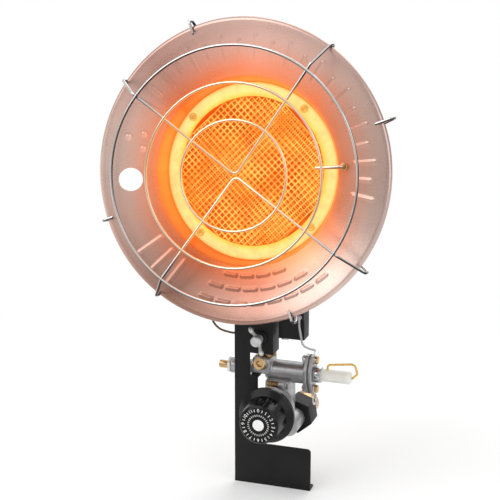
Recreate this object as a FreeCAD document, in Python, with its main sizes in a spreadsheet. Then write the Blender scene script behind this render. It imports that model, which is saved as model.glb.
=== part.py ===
# Portable propane heater: one round radiant dish on a bracket, fed by a regulator with a
# hand wheel that screws onto a gas cylinder valve. Millimetres, +Z up, the dish faces -Y,
# +X is to the right seen from the front. The origin is on the axis of the inlet thread.
import FreeCAD
import Part
import Sketcher
import math
import os

V = FreeCAD.Vector

# Driving sizes: alias, value, what it is. Angles are in degrees, all else in millimetres.
SIZES = [
    ("head_x", -32.3, "centre of the dish rim, along X"),
    ("head_y", -78, "centre of the dish rim, along Y"),
    ("head_z", 219, "centre of the dish rim, along Z"),
    ("head_tilt", 9.3, "how far the dish looks up"),
    ("rim_radius", 120.3, "outside radius of the dish"),
    ("rim_roll", 3, "radius of the rolled rim"),
    ("dish_sheet", 0.8, "dish sheet thickness"),
    ("dish_depth", 15, "rim plane back to the lip of the recess"),
    ("recess_depth", 31, "rim plane back to the floor of the recess"),
    ("recess_gap", 0.8, "recess wall outside the burner flange"),
    ("lip_flare", 4.4, "lip outside the recess wall"),
    ("hole_x", -95.6, "lighting hole, along the dish"),
    ("hole_z", -11.9, "lighting hole, up the dish"),
    ("hole_radius", 9.4, "lighting hole"),
    ("burner_radius", 61, "burner cup, outside"),
    ("burner_wall", 1, "burner cup wall"),
    ("burner_front", 29, "rim plane back to the front edge of the cup"),
    ("burner_back", 68, "rim plane back to the back of the cup"),
    ("flange_width", 10.2, "burner flange, outside the cup"),
    ("flange_wall", 1, "burner flange thickness"),
    ("mesh_wall", 1, "thickness of each screen"),
    ("mesh_gap", 3, "between the two screens"),
    ("plate_depth", 40, "rim plane back to the spreader plate"),
    ("fit_gap", 0.1, "play of a piece in a fixed hole or seat"),
    ("run_gap", 0.05, "play of a turning or sliding shaft, on the radius"),
    ("rivet_radius", 1.9, "flange rivet shank"),
    ("rivet_turn", 51.7, "angle of the first flange rivet"),
    ("wire_radius", 1.1, "guard and frame wire"),
    ("guard_x", -0.6, "crossing of the guard wires, along the dish"),
    ("guard_z", -2.6, "crossing of the guard wires, up the dish"),
    ("guard_rise", 7.8, "guard wires before the rim plane, at the crossing"),
    ("guard_slope", 0.095, "how much more they stand out per millimetre of radius"),
    ("guard_bend", 5, "bend of a guard wire at the crossing"),
    ("ring_small", 43, "small guard ring"),
    ("ring_middle", 71.4, "middle guard ring"),
    ("ring_large", 99.6, "large guard ring"),
    ("probe_radius", 1.5, "flame sensor rod"),
    ("probe_turn", 6.4, "angle of the flame sensor"),
    ("probe_reach", 59.5, "tip of the flame sensor, from the dish axis"),
    ("probe_boss", 3, "flame sensor bush"),
    ("lead_radius", 0.9, "insulated lead"),
    ("plate_y", -50.7, "front face of the bracket"),
    ("plate_wall", 2, "bracket sheet"),
    ("plate_left", -46.4, "left edge of the bracket"),
    ("plate_right", 20.3, "right edge of the lower plate"),
    ("plate_bottom", -56, "bottom of the bracket"),
    ("plate_top", 99, "top of the bracket"),
    ("tongue_top", -19, "top edge of the lower plate"),
    ("strip_width", 20.1, "upright strip beside the cut-out"),
    ("neck_strip", 13.1, "upright strip beside the valve"),
    ("upper_right", -12.8, "right edge of the upper plate"),
    ("upper_bottom", 61.3, "bottom edge of the upper plate"),
    ("side_depth", 16.7, "side flange of the upper plate, front to back"),
    ("side_top", 91, "top of the side flange"),
    ("foot_depth", 10, "foot along the bottom, front to back"),
    ("corner_radius", 3, "rounded corner of the lower plate"),
    ("arm_wall", 2, "head arm sheet"),
    ("arm_left", -44.3, "left edge of the head arm"),
    ("arm_right", -10.3, "right edge of the head arm"),
    ("arm_bottom", 63, "bottom of the head arm"),
    ("arm_run", 143, "underside of the level run of the head arm"),
    ("ear_right", 12.7, "right edge of the switch ear"),
    ("ear_bottom", 93, "bottom of the switch ear"),
    ("ear_top", 119, "top of the switch ear"),
    ("box_left", -9.3, "left side of the tilt switch"),
    ("box_depth", 14, "tilt switch, front to back"),
    ("box_bottom", 75.4, "bottom of the tilt switch"),
    ("bolt_x", -24.3, "clamp bolt, along X"),
    ("bolt_z", 75.1, "clamp bolt, along Z"),
    ("bolt_radius", 3, "clamp bolt"),
    ("wing_span", 13, "wing nut, axis to tip"),
    ("valve_y", -34, "valve axis, along Y"),
    ("valve_z", 42.5, "valve axis, along Z"),
    ("pipe_radius", 9, "valve barrel"),
    ("pipe_bore", 6, "bore of the valve barrel"),
    ("pipe_left", -24.3, "left end of the valve barrel"),
    ("pipe_right", 14.2, "right face of the cast flange"),
    ("neck_radius", 6.5, "magnet neck of the valve"),
    ("neck_left", -54.1, "left end of the magnet neck"),
    ("block_left", -32.8, "left side of the outlet block"),
    ("block_top", 55, "top of the outlet block"),
    ("cover_wall", 3.2, "flange cover"),
    ("gasket_wall", 0.8, "flange gasket"),
    ("screw_rise", 12.65, "flange screws above and below the valve axis"),
    ("screw_radius", 2, "flange screw"),
    ("collar_length", 6.5, "button collar"),
    ("button_radius", 5.3, "push button"),
    ("button_end", 49.7, "outer end of the push button"),
    ("button_travel", 4, "how far the button goes in"),
    ("outlet_x", -24.3, "gas outlet and mixing tube, along X"),
    ("tube_radius", 8.5, "mixing tube, outside"),
    ("tube_wall", 0.8, "mixing tube wall"),
    ("tube_top", 161, "top of the mixing tube"),
    ("nut_height", 8, "injector nut"),
    ("knob_x", -10.4, "knob and regulator axis, along X"),
    ("knob_z", 17.7, "knob and regulator axis, along Z"),
    ("knob_front", -97.3, "front face of the knob"),
    ("knob_length", 24.6, "knob, front to back"),
    ("knob_face", 16.4, "front of the knob grip"),
    ("knob_grip", 18.4, "back of the knob grip"),
    ("knob_skirt", 23.5, "knob skirt"),
    ("flute_radius", 3.2, "finger flute of the knob"),
    ("spindle_radius", 3, "knob spindle"),
    ("bonnet_radius", 19, "regulator bonnet"),
    ("bonnet_length", 13.7, "regulator bonnet, front to back"),
    ("case_radius", 17, "regulator case"),
    ("case_length", 6.2, "regulator case, front to back"),
    ("cup_travel", 2, "travel of the spring cup"),
    ("stub_radius", 9, "inlet boss of the regulator"),
    ("wheel_radius", 15.4, "hand wheel, axis to corner"),
    ("wheel_length", 20, "hand wheel, front to back"),
    ("handle_wire", 0.95, "wire of the button handle"),
    ("handle_rise", 4.2, "handle wire above the push button"),
    ("plug_radius", 5.5, "head of the port plug"),
    ("plug_socket", 2.9, "corner radius of the port plug's socket"),
    ("bleed_radius", 2.5, "corner radius of the bleed plug"),
    ("bleed_length", 9.6, "hexagon of the bleed plug"),
    ("wheel_turn", -20, "angle of a corner of the hand wheel"),
    ("thread_radius", 11.2, "outside of the inlet thread"),
    ("thread_start", -8, "front end of the inlet thread"),
    ("thread_length", 16, "inlet thread"),
    ("stem_radius", 4, "inlet stem"),
    ("stem_bore", 2, "gas way through the stem"),
    ("nose_radius", 6.8, "soft nose"),
    ("nose_length", 11, "soft nose"),
]

doc = FreeCAD.newDocument("PropaneHeater")
nodes = []


def make_sheet():
    """Puts the driving sizes into a spreadsheet, one row each."""
    sheet = doc.addObject("Spreadsheet::Sheet", "Dim")
    for row, (alias, value, meaning) in enumerate(SIZES, start=1):
        sheet.set("A%d" % row, meaning)
        sheet.set("B%d" % row, str(value))
        sheet.setAlias("B%d" % row, alias)
    doc.recompute()
    return sheet


dim = make_sheet()

# Expressions that several pieces share.
COS = "cos(Dim.head_tilt)"
SIN = "sin(Dim.head_tilt)"
PLATE_BACK = "(Dim.plate_y + Dim.plate_wall)"
ARM_BACK = "(Dim.plate_y + Dim.plate_wall + Dim.arm_wall)"
STRIP_RIGHT = "(Dim.plate_left + Dim.strip_width)"
NECK_STRIP_RIGHT = "(Dim.plate_left + Dim.neck_strip)"
SHELF_TOP = "(Dim.valve_z - 1)"
SIDE_INNER = "(Dim.upper_right - Dim.plate_wall)"
FLANGE_RADIUS = "(Dim.burner_radius + Dim.flange_width)"
RECESS_RADIUS = "(Dim.burner_radius + Dim.flange_width + Dim.recess_gap)"
LIP_RADIUS = "(Dim.burner_radius + Dim.flange_width + Dim.recess_gap + Dim.lip_flare)"
PROBE_PLACE = "(%s + Dim.dish_sheet + Dim.probe_boss + 0.3)" % LIP_RADIUS
FLANGE_FRONT = "(Dim.recess_depth - Dim.flange_wall)"
RIVET_CIRCLE = "(Dim.burner_radius + Dim.flange_width / 2)"
CUP_INSIDE = "(Dim.burner_radius - Dim.burner_wall - Dim.fit_gap)"
COVER_LEFT = "(Dim.pipe_right + Dim.gasket_wall)"
COVER_RIGHT = "(Dim.pipe_right + Dim.gasket_wall + Dim.cover_wall)"
COLLAR_RIGHT = "(Dim.pipe_right + Dim.gasket_wall + Dim.cover_wall + Dim.collar_length)"
BUTTON_LEFT = "(%s - Dim.collar_length / 2 - 2)" % COLLAR_RIGHT
KNOB_BACK = "(Dim.knob_front + Dim.knob_length)"
BONNET_FRONT = "(Dim.knob_front + Dim.knob_length + 1)"
BONNET_BACK = "(%s + Dim.bonnet_length)" % BONNET_FRONT
CASE_FRONT = "(%s + Dim.fit_gap * 8)" % BONNET_BACK
CASE_BACK = "(%s + Dim.case_length)" % CASE_FRONT
WHEEL_FRONT = "(Dim.thread_start - Dim.wheel_length)"
THREAD_END = "(Dim.thread_start + Dim.thread_length)"
NUT_TOP = "(Dim.block_top + Dim.nut_height)"


def size(alias):
    """The value of one driving size."""
    return float(getattr(dim, alias))


def bind(thing, links):
    """Ties properties of an object to expressions of the sheet."""
    for path, expression in links.items():
        thing.setExpression(path, expression)


def keep(thing, label):
    """Makes an object one of the sub-parts."""
    thing.Label = label
    nodes.append(thing)
    return thing


def turn_for(along):
    """The rotation that takes +Z to the named axis."""
    turns = {
        "X": FreeCAD.Rotation(V(0, 1, 0), 90),
        "Y": FreeCAD.Rotation(V(1, 0, 0), -90),
        "Z": FreeCAD.Rotation(),
    }
    return turns[along]


def at(thing, x, y, z, along="Z"):
    """Places an object at a point given as three expressions."""
    thing.Placement = FreeCAD.Placement(V(0, 0, 0), turn_for(along))
    bind(thing, {"Placement.Base.x": x, "Placement.Base.y": y, "Placement.Base.z": z})
    return thing


def in_head(thing):
    """Places an object modelled in the dish's own frame: y runs back from the rim plane."""
    thing.Placement = FreeCAD.Placement(V(0, 0, 0), FreeCAD.Rotation(V(-1, 0, 0), 1))
    bind(thing, {
        "Placement.Base.x": "Dim.head_x",
        "Placement.Base.y": "Dim.head_y",
        "Placement.Base.z": "Dim.head_z",
        "Placement.Rotation.Angle": "Dim.head_tilt",
    })
    return thing


def facing_dish(thing, x, depth, z):
    """Places a round primitive so that its axis runs back along the dish axis."""
    thing.Placement = FreeCAD.Placement(V(0, 0, 0), FreeCAD.Rotation(V(-1, 0, 0), 90))
    bind(thing, {
        "Placement.Base.x": "Dim.head_x + %s" % x,
        "Placement.Base.y": "Dim.head_y + (%s) * %s + (%s) * %s" % (depth, COS, z, SIN),
        "Placement.Base.z": "Dim.head_z - (%s) * %s + (%s) * %s" % (depth, SIN, z, COS),
        "Placement.Rotation.Angle": "90 + Dim.head_tilt",
    })
    return thing


def cylinder(radius, length):
    """A cylinder primitive from its origin along +Z."""
    rod = doc.addObject("Part::Cylinder", "Rod")
    bind(rod, {"Radius": radius, "Height": length})
    return rod


def rod_x(radius, start, end, y="Dim.valve_y", z="Dim.valve_z"):
    """A cylinder along X between two places."""
    return at(cylinder(radius, "%s - (%s)" % (end, start)), start, y, z, "X")


def rod_y(radius, start, end, x, z):
    """A cylinder along Y between two places."""
    return at(cylinder(radius, "%s - (%s)" % (end, start)), x, start, z, "Y")


def rod_z(radius, start, end, x, y):
    """A cylinder along Z between two places."""
    return at(cylinder(radius, "%s - (%s)" % (end, start)), x, y, start, "Z")


def head_rod(radius, start, end, x, z):
    """A cylinder along the dish axis between two depths."""
    return facing_dish(cylinder(radius, "%s - (%s)" % (end, start)), x, start, z)


def block(left, right, front, back, bottom, top):
    """A box between six places."""
    box = doc.addObject("Part::Box", "Block")
    bind(box, {
        "Length": "%s - (%s)" % (right, left),
        "Width": "%s - (%s)" % (back, front),
        "Height": "%s - (%s)" % (top, bottom),
    })
    return at(box, left, front, bottom)


def hexagon(corner, length):
    """A six-sided prism from its origin along +Z."""
    prism = doc.addObject("Part::Prism", "Hexagon")
    prism.Polygon = 6
    bind(prism, {"Circumradius": corner, "Height": length})
    return prism


def fuse(parts):
    """All parts as one solid."""
    whole = doc.addObject("Part::MultiFuse", "Joined")
    whole.Shapes = parts
    whole.Refine = True
    return whole


def cut(base, tools):
    """The base without the tools."""
    tool = tools[0] if len(tools) == 1 else fuse(tools)
    rest = doc.addObject("Part::Cut", "Rest")
    rest.Base = base
    rest.Tool = tool
    rest.Refine = True
    return rest


def together(parts):
    """Several like solids that share one sub-part."""
    group = doc.addObject("Part::Compound", "Group")
    group.Links = parts
    return group


def sketch_on(body, role, offset=None):
    """A new sketch on one of the body's own origin planes, moved along its normal."""
    sketch = body.newObject("Sketcher::SketchObject", body.Name + "Sketch")
    plane = [part for part in body.Origin.OriginFeatures if part.Role == role][0]
    sketch.AttachmentSupport = [(plane, "")]
    sketch.MapMode = "FlatFace"
    if offset:
        sketch.setExpression("AttachmentOffset.Base.z", offset)
    return sketch


def outline(sketch, corners):
    """A closed outline through corners, each given as two expressions."""
    count = len(corners)
    first = sketch.GeometryCount
    starts = []
    for index in range(count):
        angle = 2 * math.pi * index / count
        starts.append(V(10 * math.cos(angle), 10 * math.sin(angle), 0))
    for index in range(count):
        sketch.addGeometry(Part.LineSegment(starts[index], starts[(index + 1) % count]), False)
    for index in range(count):
        following = first + (index + 1) % count
        sketch.addConstraint(Sketcher.Constraint("Coincident", first + index, 2, following, 1))
    for index, corner in enumerate(corners):
        for kind, value, start in zip(("DistanceX", "DistanceY"), corner, starts[index]):
            rule = sketch.addConstraint(Sketcher.Constraint(kind, -1, 1, first + index, 1, start))
            sketch.setExpression("Constraints[%d]" % rule, value)


def circle(sketch, x, y, radius):
    """A circle with its centre and radius given as expressions."""
    index = sketch.addGeometry(Part.Circle(V(1, 1, 0), V(0, 0, 1), 1), False)
    links = (("DistanceX", x), ("DistanceY", y))
    for kind, value in links:
        rule = sketch.addConstraint(Sketcher.Constraint(kind, -1, 1, index, 3, 1))
        sketch.setExpression("Constraints[%d]" % rule, value)
    rule = sketch.addConstraint(Sketcher.Constraint("Radius", index, 1))
    sketch.setExpression("Constraints[%d]" % rule, radius)


def revolve(body, sketch, axis="V_Axis"):
    """Turns a sketch once round one of its axes."""
    spin = body.newObject("PartDesign::Revolution", "Turned")
    spin.Profile = sketch
    spin.ReferenceAxis = (sketch, [axis])
    spin.Angle = 360
    return spin


def pad(body, sketch, length, backwards=False):
    """Pads a sketch by a length given as an expression."""
    solid = body.newObject("PartDesign::Pad", "Padded")
    solid.Profile = sketch
    solid.Reversed = backwards
    solid.setExpression("Length", length)
    return solid


def pocket(body, sketch, backwards=False):
    """Cuts a sketch right through the body, and checks that it did cut."""
    doc.recompute()
    before = body.Shape.Volume
    hollow = body.newObject("PartDesign::Pocket", "Cut")
    hollow.Profile = sketch
    hollow.Type = "ThroughAll"
    hollow.Reversed = backwards
    doc.recompute()
    if not body.Shape.Volume < before:
        raise RuntimeError(body.Name + ": a pocket cut nothing")
    return hollow


def turned(name, corners, role="XY_Plane", axis="V_Axis"):
    """A body of revolution with a straight-sided profile."""
    body = doc.addObject("PartDesign::Body", name)
    sketch = sketch_on(body, role)
    outline(sketch, corners)
    revolve(body, sketch, axis)
    return body


def edges_near(shape, points):
    """Names of the edges whose middles lie nearest the given points."""
    names = []
    for point in points:
        spot = Part.Vertex(point)
        gaps = [edge.distToShape(spot)[0] + (edge.CenterOfMass - point).Length
                for edge in shape.Edges]
        names.append("Edge%d" % (gaps.index(min(gaps)) + 1))
    return names


def rounded_path(points, bends):
    """Straight runs through the points, with a tangent arc at each inner one."""
    edges = []
    start = points[0]
    for before, point, after, bend in zip(points, points[1:], points[2:], bends):
        back = (before - point).normalize()
        ahead = (after - point).normalize()
        half = back.getAngle(ahead) / 2
        middle = (back + ahead).normalize()
        centre = point + middle * (bend / math.sin(half))
        arc_start = point + back * (bend / math.tan(half))
        arc_end = point + ahead * (bend / math.tan(half))
        edges.append(Part.LineSegment(start, arc_start).toShape())
        edges.append(Part.Arc(arc_start, centre - middle * bend, arc_end).toShape())
        start = arc_end
    edges.append(Part.LineSegment(start, points[-1]).toShape())
    return Part.Wire(edges)


def bent_wire(points, radius, bends):
    """A round wire along a bent path, which a sketch on one plane can't hold."""
    path = rounded_path(points, bends)
    section = Part.Wire(Part.makeCircle(radius, points[0], points[1] - points[0]))
    shape = path.makePipeShell([section], True, False)
    expected = math.pi * radius ** 2 * path.Length
    if abs(shape.Volume / expected - 1) > 0.02:
        raise RuntimeError("a bent wire has the wrong volume")
    wire = doc.addObject("Part::Feature", "Wire")
    wire.Shape = shape
    return wire


def round_bends(points, largest):
    """Bend radii for a lead: 0.45 of the shorter run over the tangent of half the turn."""
    bends = []
    for before, point, after in zip(points, points[1:], points[2:]):
        run_in = point - before
        run_out = after - point
        half_turn = run_in.getAngle(run_out) / 2
        shorter = min(run_in.Length, run_out.Length)
        bends.append(min(largest, 0.45 * shorter / math.tan(half_turn)))
    return bends


def on_dish(turn, radius, depth):
    """A point in the dish's own frame, from its angle, radius and depth."""
    angle = math.radians(turn)
    return V(radius * math.cos(angle), depth, radius * math.sin(angle))


def from_head(point):
    """A point of the dish's own frame as a point of the heater."""
    place = FreeCAD.Placement(
        V(size("head_x"), size("head_y"), size("head_z")),
        FreeCAD.Rotation(V(-1, 0, 0), size("head_tilt")))
    return place.multVec(point)


# Head


def make_reflector():
    """Dish of thin sheet with a rolled rim and a stepped recess for the burner."""
    body = doc.addObject("PartDesign::Body", "Reflector")
    sheet = "Dim.dish_sheet"
    roll_centre = "Dim.rim_radius - Dim.rim_roll"
    hole = "Dim.burner_radius + Dim.fit_gap"
    profile = sketch_on(body, "XY_Plane")
    outline(profile, [
        (roll_centre, "Dim.rim_roll / 2"),
        (LIP_RADIUS, "Dim.dish_depth"),
        (RECESS_RADIUS, "Dim.recess_depth"),
        (hole, "Dim.recess_depth"),
        (hole, "Dim.recess_depth + %s" % sheet),
        ("%s + %s" % (RECESS_RADIUS, sheet), "Dim.recess_depth + %s" % sheet),
        ("%s + %s" % (LIP_RADIUS, sheet), "Dim.dish_depth + %s" % sheet),
        (roll_centre, "Dim.rim_roll / 2 + %s" % sheet),
    ])
    revolve(body, profile)
    rim = sketch_on(body, "XY_Plane")
    circle(rim, roll_centre, "Dim.rim_roll", "Dim.rim_roll")
    revolve(body, rim)
    holes = sketch_on(body, "XZ_Plane")
    circle(holes, "Dim.hole_x", "Dim.hole_z", "Dim.hole_radius")
    circle(holes, "%s * cos(Dim.probe_turn)" % PROBE_PLACE, "%s * sin(Dim.probe_turn)" % PROBE_PLACE,
           "Dim.probe_boss + Dim.fit_gap")
    for quarter in range(4):
        x, z = rivet_place(quarter)
        circle(holes, x, z, "Dim.rivet_radius + Dim.fit_gap")
    pocket(body, holes)
    keep(in_head(body), "reflector")


def rivet_place(quarter):
    """Expressions for the place of one of the four flange rivets on the dish."""
    turn = "Dim.rivet_turn + %d" % (90 * quarter)
    return "%s * cos(%s)" % (RIVET_CIRCLE, turn), "%s * sin(%s)" % (RIVET_CIRCLE, turn)


def make_burner():
    """Burner cup with its flange, both screens and the spreader plate inside."""
    wall = "Dim.burner_wall"
    inside = "Dim.burner_radius - %s" % wall
    cup = turned("Burner", [
        (inside, "Dim.burner_front"),
        ("Dim.burner_radius", "Dim.burner_front"),
        ("Dim.burner_radius", FLANGE_FRONT),
        (FLANGE_RADIUS, FLANGE_FRONT),
        (FLANGE_RADIUS, "Dim.recess_depth"),
        ("Dim.burner_radius", "Dim.recess_depth"),
        ("Dim.burner_radius", "Dim.burner_back"),
        ("0", "Dim.burner_back"),
        ("0", "Dim.burner_back - %s" % wall),
        (inside, "Dim.burner_back - %s" % wall),
    ])
    holes = sketch_on(cup, "XZ_Plane")
    for quarter in range(4):
        x, z = rivet_place(quarter)
        circle(holes, x, z, "Dim.rivet_radius + Dim.fit_gap")
    pocket(cup, holes)
    in_head(cup)
    tools = [rod_z("Dim.tube_radius + Dim.fit_gap", "Dim.arm_run", "Dim.tube_top",
                   "Dim.outlet_x", "Dim.valve_y")]
    tools += arm_screw_rods("1.5 + Dim.fit_gap", "Dim.burner_back - 2", "Dim.burner_back + 2")
    keep(cut(cup, tools), "burner_cup")
    front = "Dim.burner_front + 0.2"
    keep(head_rod(CUP_INSIDE, front, "%s + Dim.mesh_wall" % front, "0", "0"), "screen_front")
    back = "Dim.burner_front + 0.2 + Dim.mesh_wall + Dim.mesh_gap"
    keep(head_rod(CUP_INSIDE, back, "%s + Dim.mesh_wall" % back, "0", "0"), "screen_back")
    plate = doc.addObject("PartDesign::Body", "Spreader")
    face = sketch_on(plate, "XZ_Plane", "-Dim.plate_depth")
    circle(face, "0", "0", CUP_INSIDE)
    pad(plate, face, "Dim.burner_wall", True)
    holes = sketch_on(plate, "XZ_Plane")
    for ring, count in ((15, 6), (30, 12), (45, 18)):
        for index in range(count):
            turn = 360.0 * index / count
            circle(holes, "%d * cos(%s)" % (ring, turn), "%d * sin(%s)" % (ring, turn), "2.5")
    pocket(plate, holes)
    keep(in_head(plate), "spreader_plate")


def make_flange_rivets():
    """Four rivets that hold the burner flange to the floor of the recess."""
    rivets = []
    behind = "Dim.recess_depth + Dim.dish_sheet"
    for quarter in range(4):
        x, z = rivet_place(quarter)
        front = "%s - 1.5" % FLANGE_FRONT
        head = head_rod("Dim.rivet_radius * 1.8", front, FLANGE_FRONT, x, z)
        shank = head_rod("Dim.rivet_radius", FLANGE_FRONT, behind, x, z)
        tail = head_rod("Dim.rivet_radius * 1.5", behind, "%s + 0.9" % behind, x, z)
        rivets.append(fuse([head, shank, tail]))
    keep(together(rivets), "flange_rivets")


def guard_depth(radius):
    """How deep the middle of a guard wire lies at a radius; negative is before the rim."""
    return -(size("guard_rise") + size("guard_slope") * radius)


def guard_leg(turn, reach, crossing):
    """Points of one leg of a guard wire, from its hooked tip to the bend before the rim."""
    roll = size("rim_roll")
    gap = roll + size("wire_radius") + 0.05
    rim = size("rim_radius") - roll
    outer = rim + gap + reach
    bend = on_dish(turn, size("ring_large") + 3, crossing.y)
    bend.y = guard_depth((bend - crossing).Length)
    return [
        on_dish(turn, rim - 1, roll + gap + 2.3),
        on_dish(turn, outer, roll + gap + 0.15),
        on_dish(turn, outer, -2),
        bend,
    ]


def make_guard():
    """Front guard: two bent wires hooked on the rim, with three welded rings."""
    thick = size("wire_radius")
    bends = [gap_bend() for _ in range(2)] + [4]
    crossing = V(size("guard_x"), guard_depth(0), size("guard_z"))
    for label, turns, reaches in (
            ("guard_wire_upper", (146.4, 55.9), (0, 0)),
            ("guard_wire_lower", (-122.2, -33.7), (0, 5))):
        first = guard_leg(turns[0], reaches[0], crossing)
        second = guard_leg(turns[1], reaches[1], crossing)
        points = first + [crossing] + second[::-1]
        radii = bends + [size("guard_bend")] + bends[::-1]
        keep(in_head(bent_wire(points, thick, radii)), label)
    for label, alias in (
            ("guard_ring_small", "ring_small"),
            ("guard_ring_middle", "ring_middle"),
            ("guard_ring_large", "ring_large")):
        ring = doc.addObject("Part::Torus", "Ring")
        bind(ring, {"Radius1": "Dim.%s" % alias, "Radius2": "Dim.wire_radius"})
        depth = "-(Dim.guard_rise + Dim.guard_slope * Dim.%s + 2 * Dim.wire_radius + 0.05)" % alias
        keep(facing_dish(ring, "Dim.guard_x", depth, "Dim.guard_z"), label)


def gap_bend():
    """Bend of a wire that goes round the rolled rim."""
    return size("rim_roll") + size("wire_radius")


def make_rear_frame():
    """Two wires that cross behind the burner and clip over the rim from behind."""
    thick = size("wire_radius")
    roll = size("rim_roll")
    rim = size("rim_radius") - roll
    gap = roll + thick + 0.1
    wide = size("burner_radius") + 4.5
    behind = size("burner_back") + size("arm_wall") + thick + 0.2
    for label, hooks, layer in (
            ("frame_wire_steep", ((112.5, 3.5), (-66.3, 3)), 0),
            ("frame_wire_flat", ((22, 6.5), (-158, 2)), 1)):
        depth = behind + layer * (2 * thick + 0.05)
        legs = []
        for turn, reach in hooks:
            outer = rim + gap + reach
            legs.append([
                on_dish(turn, rim - 3, roll - gap),
                on_dish(turn, outer, roll - gap),
                on_dish(turn, outer, roll + 4.5),
                on_dish(turn, wide, depth),
            ])
        points = legs[0] + legs[1][::-1]
        radii = [2.4, 3, 8]
        keep(in_head(bent_wire(points, thick, radii + radii[::-1])), label)


def probe_radius_place():
    """Radius at which the flame sensor goes through the dish."""
    lip = size("burner_radius") + size("flange_width") + size("recess_gap") + size("lip_flare")
    return lip + size("dish_sheet") + size("probe_boss") + 0.3


def make_flame_sensor():
    """Bent rod that reaches over the screen, in a bush that goes through the dish."""
    turn = size("probe_turn")
    through = probe_radius_place()
    front = size("dish_depth") - 7.5
    points = [
        on_dish(turn, size("probe_reach"), front),
        on_dish(turn, through, front),
        on_dish(turn, through, size("recess_depth") + 12),
    ]
    keep(in_head(bent_wire(points, size("probe_radius"), [3.5])), "flame_sensor")
    x = "%s * cos(Dim.probe_turn)" % PROBE_PLACE
    z = "%s * sin(Dim.probe_turn)" % PROBE_PLACE
    bush = head_rod("Dim.probe_boss", "Dim.dish_depth - 3.8", "Dim.dish_depth + 5", x, z)
    bore = head_rod("Dim.probe_radius + Dim.fit_gap", "0", "Dim.burner_back", x, z)
    keep(cut(bush, [bore]), "sensor_bush")


# Bracket and head arm


def make_bracket():
    """Folded sheet bracket: upper plate with a side flange, strip, lower plate and foot."""
    body = doc.addObject("PartDesign::Body", "Bracket")
    face = sketch_on(body, "XZ_Plane")
    outline(face, [
        ("Dim.plate_left", "Dim.plate_bottom"),
        ("Dim.plate_right", "Dim.plate_bottom"),
        ("Dim.plate_right", "Dim.tongue_top"),
        (STRIP_RIGHT, "Dim.tongue_top"),
        (STRIP_RIGHT, SHELF_TOP),
        (NECK_STRIP_RIGHT, SHELF_TOP),
        (NECK_STRIP_RIGHT, "Dim.upper_bottom"),
        ("Dim.upper_right", "Dim.upper_bottom"),
        ("Dim.upper_right", "Dim.plate_top"),
        ("Dim.plate_left", "Dim.plate_top"),
    ])
    pad(body, face, "Dim.plate_wall", True)
    folds = (
        (SIDE_INNER, "Dim.upper_right", "Dim.upper_bottom", "Dim.side_top", "Dim.side_depth"),
        ("Dim.plate_left", "Dim.plate_right", "Dim.plate_bottom",
         "Dim.plate_bottom + Dim.plate_wall", "Dim.foot_depth"),
        (SHELF_LEFT, STRIP_RIGHT, "%s - Dim.plate_wall" % SHELF_TOP, SHELF_TOP,
         "Dim.valve_y - Dim.plate_y + 6"),
    )
    for left, right, bottom, top, depth in folds:
        fold = sketch_on(body, "XZ_Plane")
        outline(fold, [(left, bottom), (right, bottom), (right, top), (left, top)])
        pad(body, fold, depth, True)
    hole = sketch_on(body, "XZ_Plane")
    circle(hole, "Dim.bolt_x", "Dim.bolt_z", "Dim.bolt_radius + Dim.fit_gap")
    pocket(body, hole)
    corner = V(size("plate_right"), size("plate_wall") / 2, size("tongue_top"))
    plain = body.Tip
    rounding = body.newObject("PartDesign::Fillet", "Corner")
    rounding.Base = (plain, edges_near(plain.Shape, [corner]))
    rounding.setExpression("Radius", "Dim.corner_radius")
    body.Tip = rounding
    at(body, "0", "Dim.plate_y", "0")
    shelf_hole = rod_z("1.2 + Dim.fit_gap", "%s - 4" % SHELF_TOP, SHELF_TOP, SHELF_SCREW_X,
                       SHELF_SCREW_Y)
    keep(cut(body, [shelf_hole]), "bracket")


SHELF_LEFT = "(Dim.block_left + 0.3)"
SHELF_SCREW_Y = "(Dim.valve_y - 5.5)"
SHELF_SCREW_X = "((Dim.block_left + 0.3 + Dim.plate_left + Dim.strip_width) / 2)"


def arm_screw_rods(radius, start, end):
    """Cylinders at the two screws that hold the arm to the back of the burner."""
    rods = []
    for share in (0.2, 0.8):
        x = "Dim.arm_left + %s * (Dim.arm_right - Dim.arm_left) - Dim.head_x" % share
        rods.append(head_rod(radius, start, end, x, "-(Dim.burner_radius - 10)"))
    return rods


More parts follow.
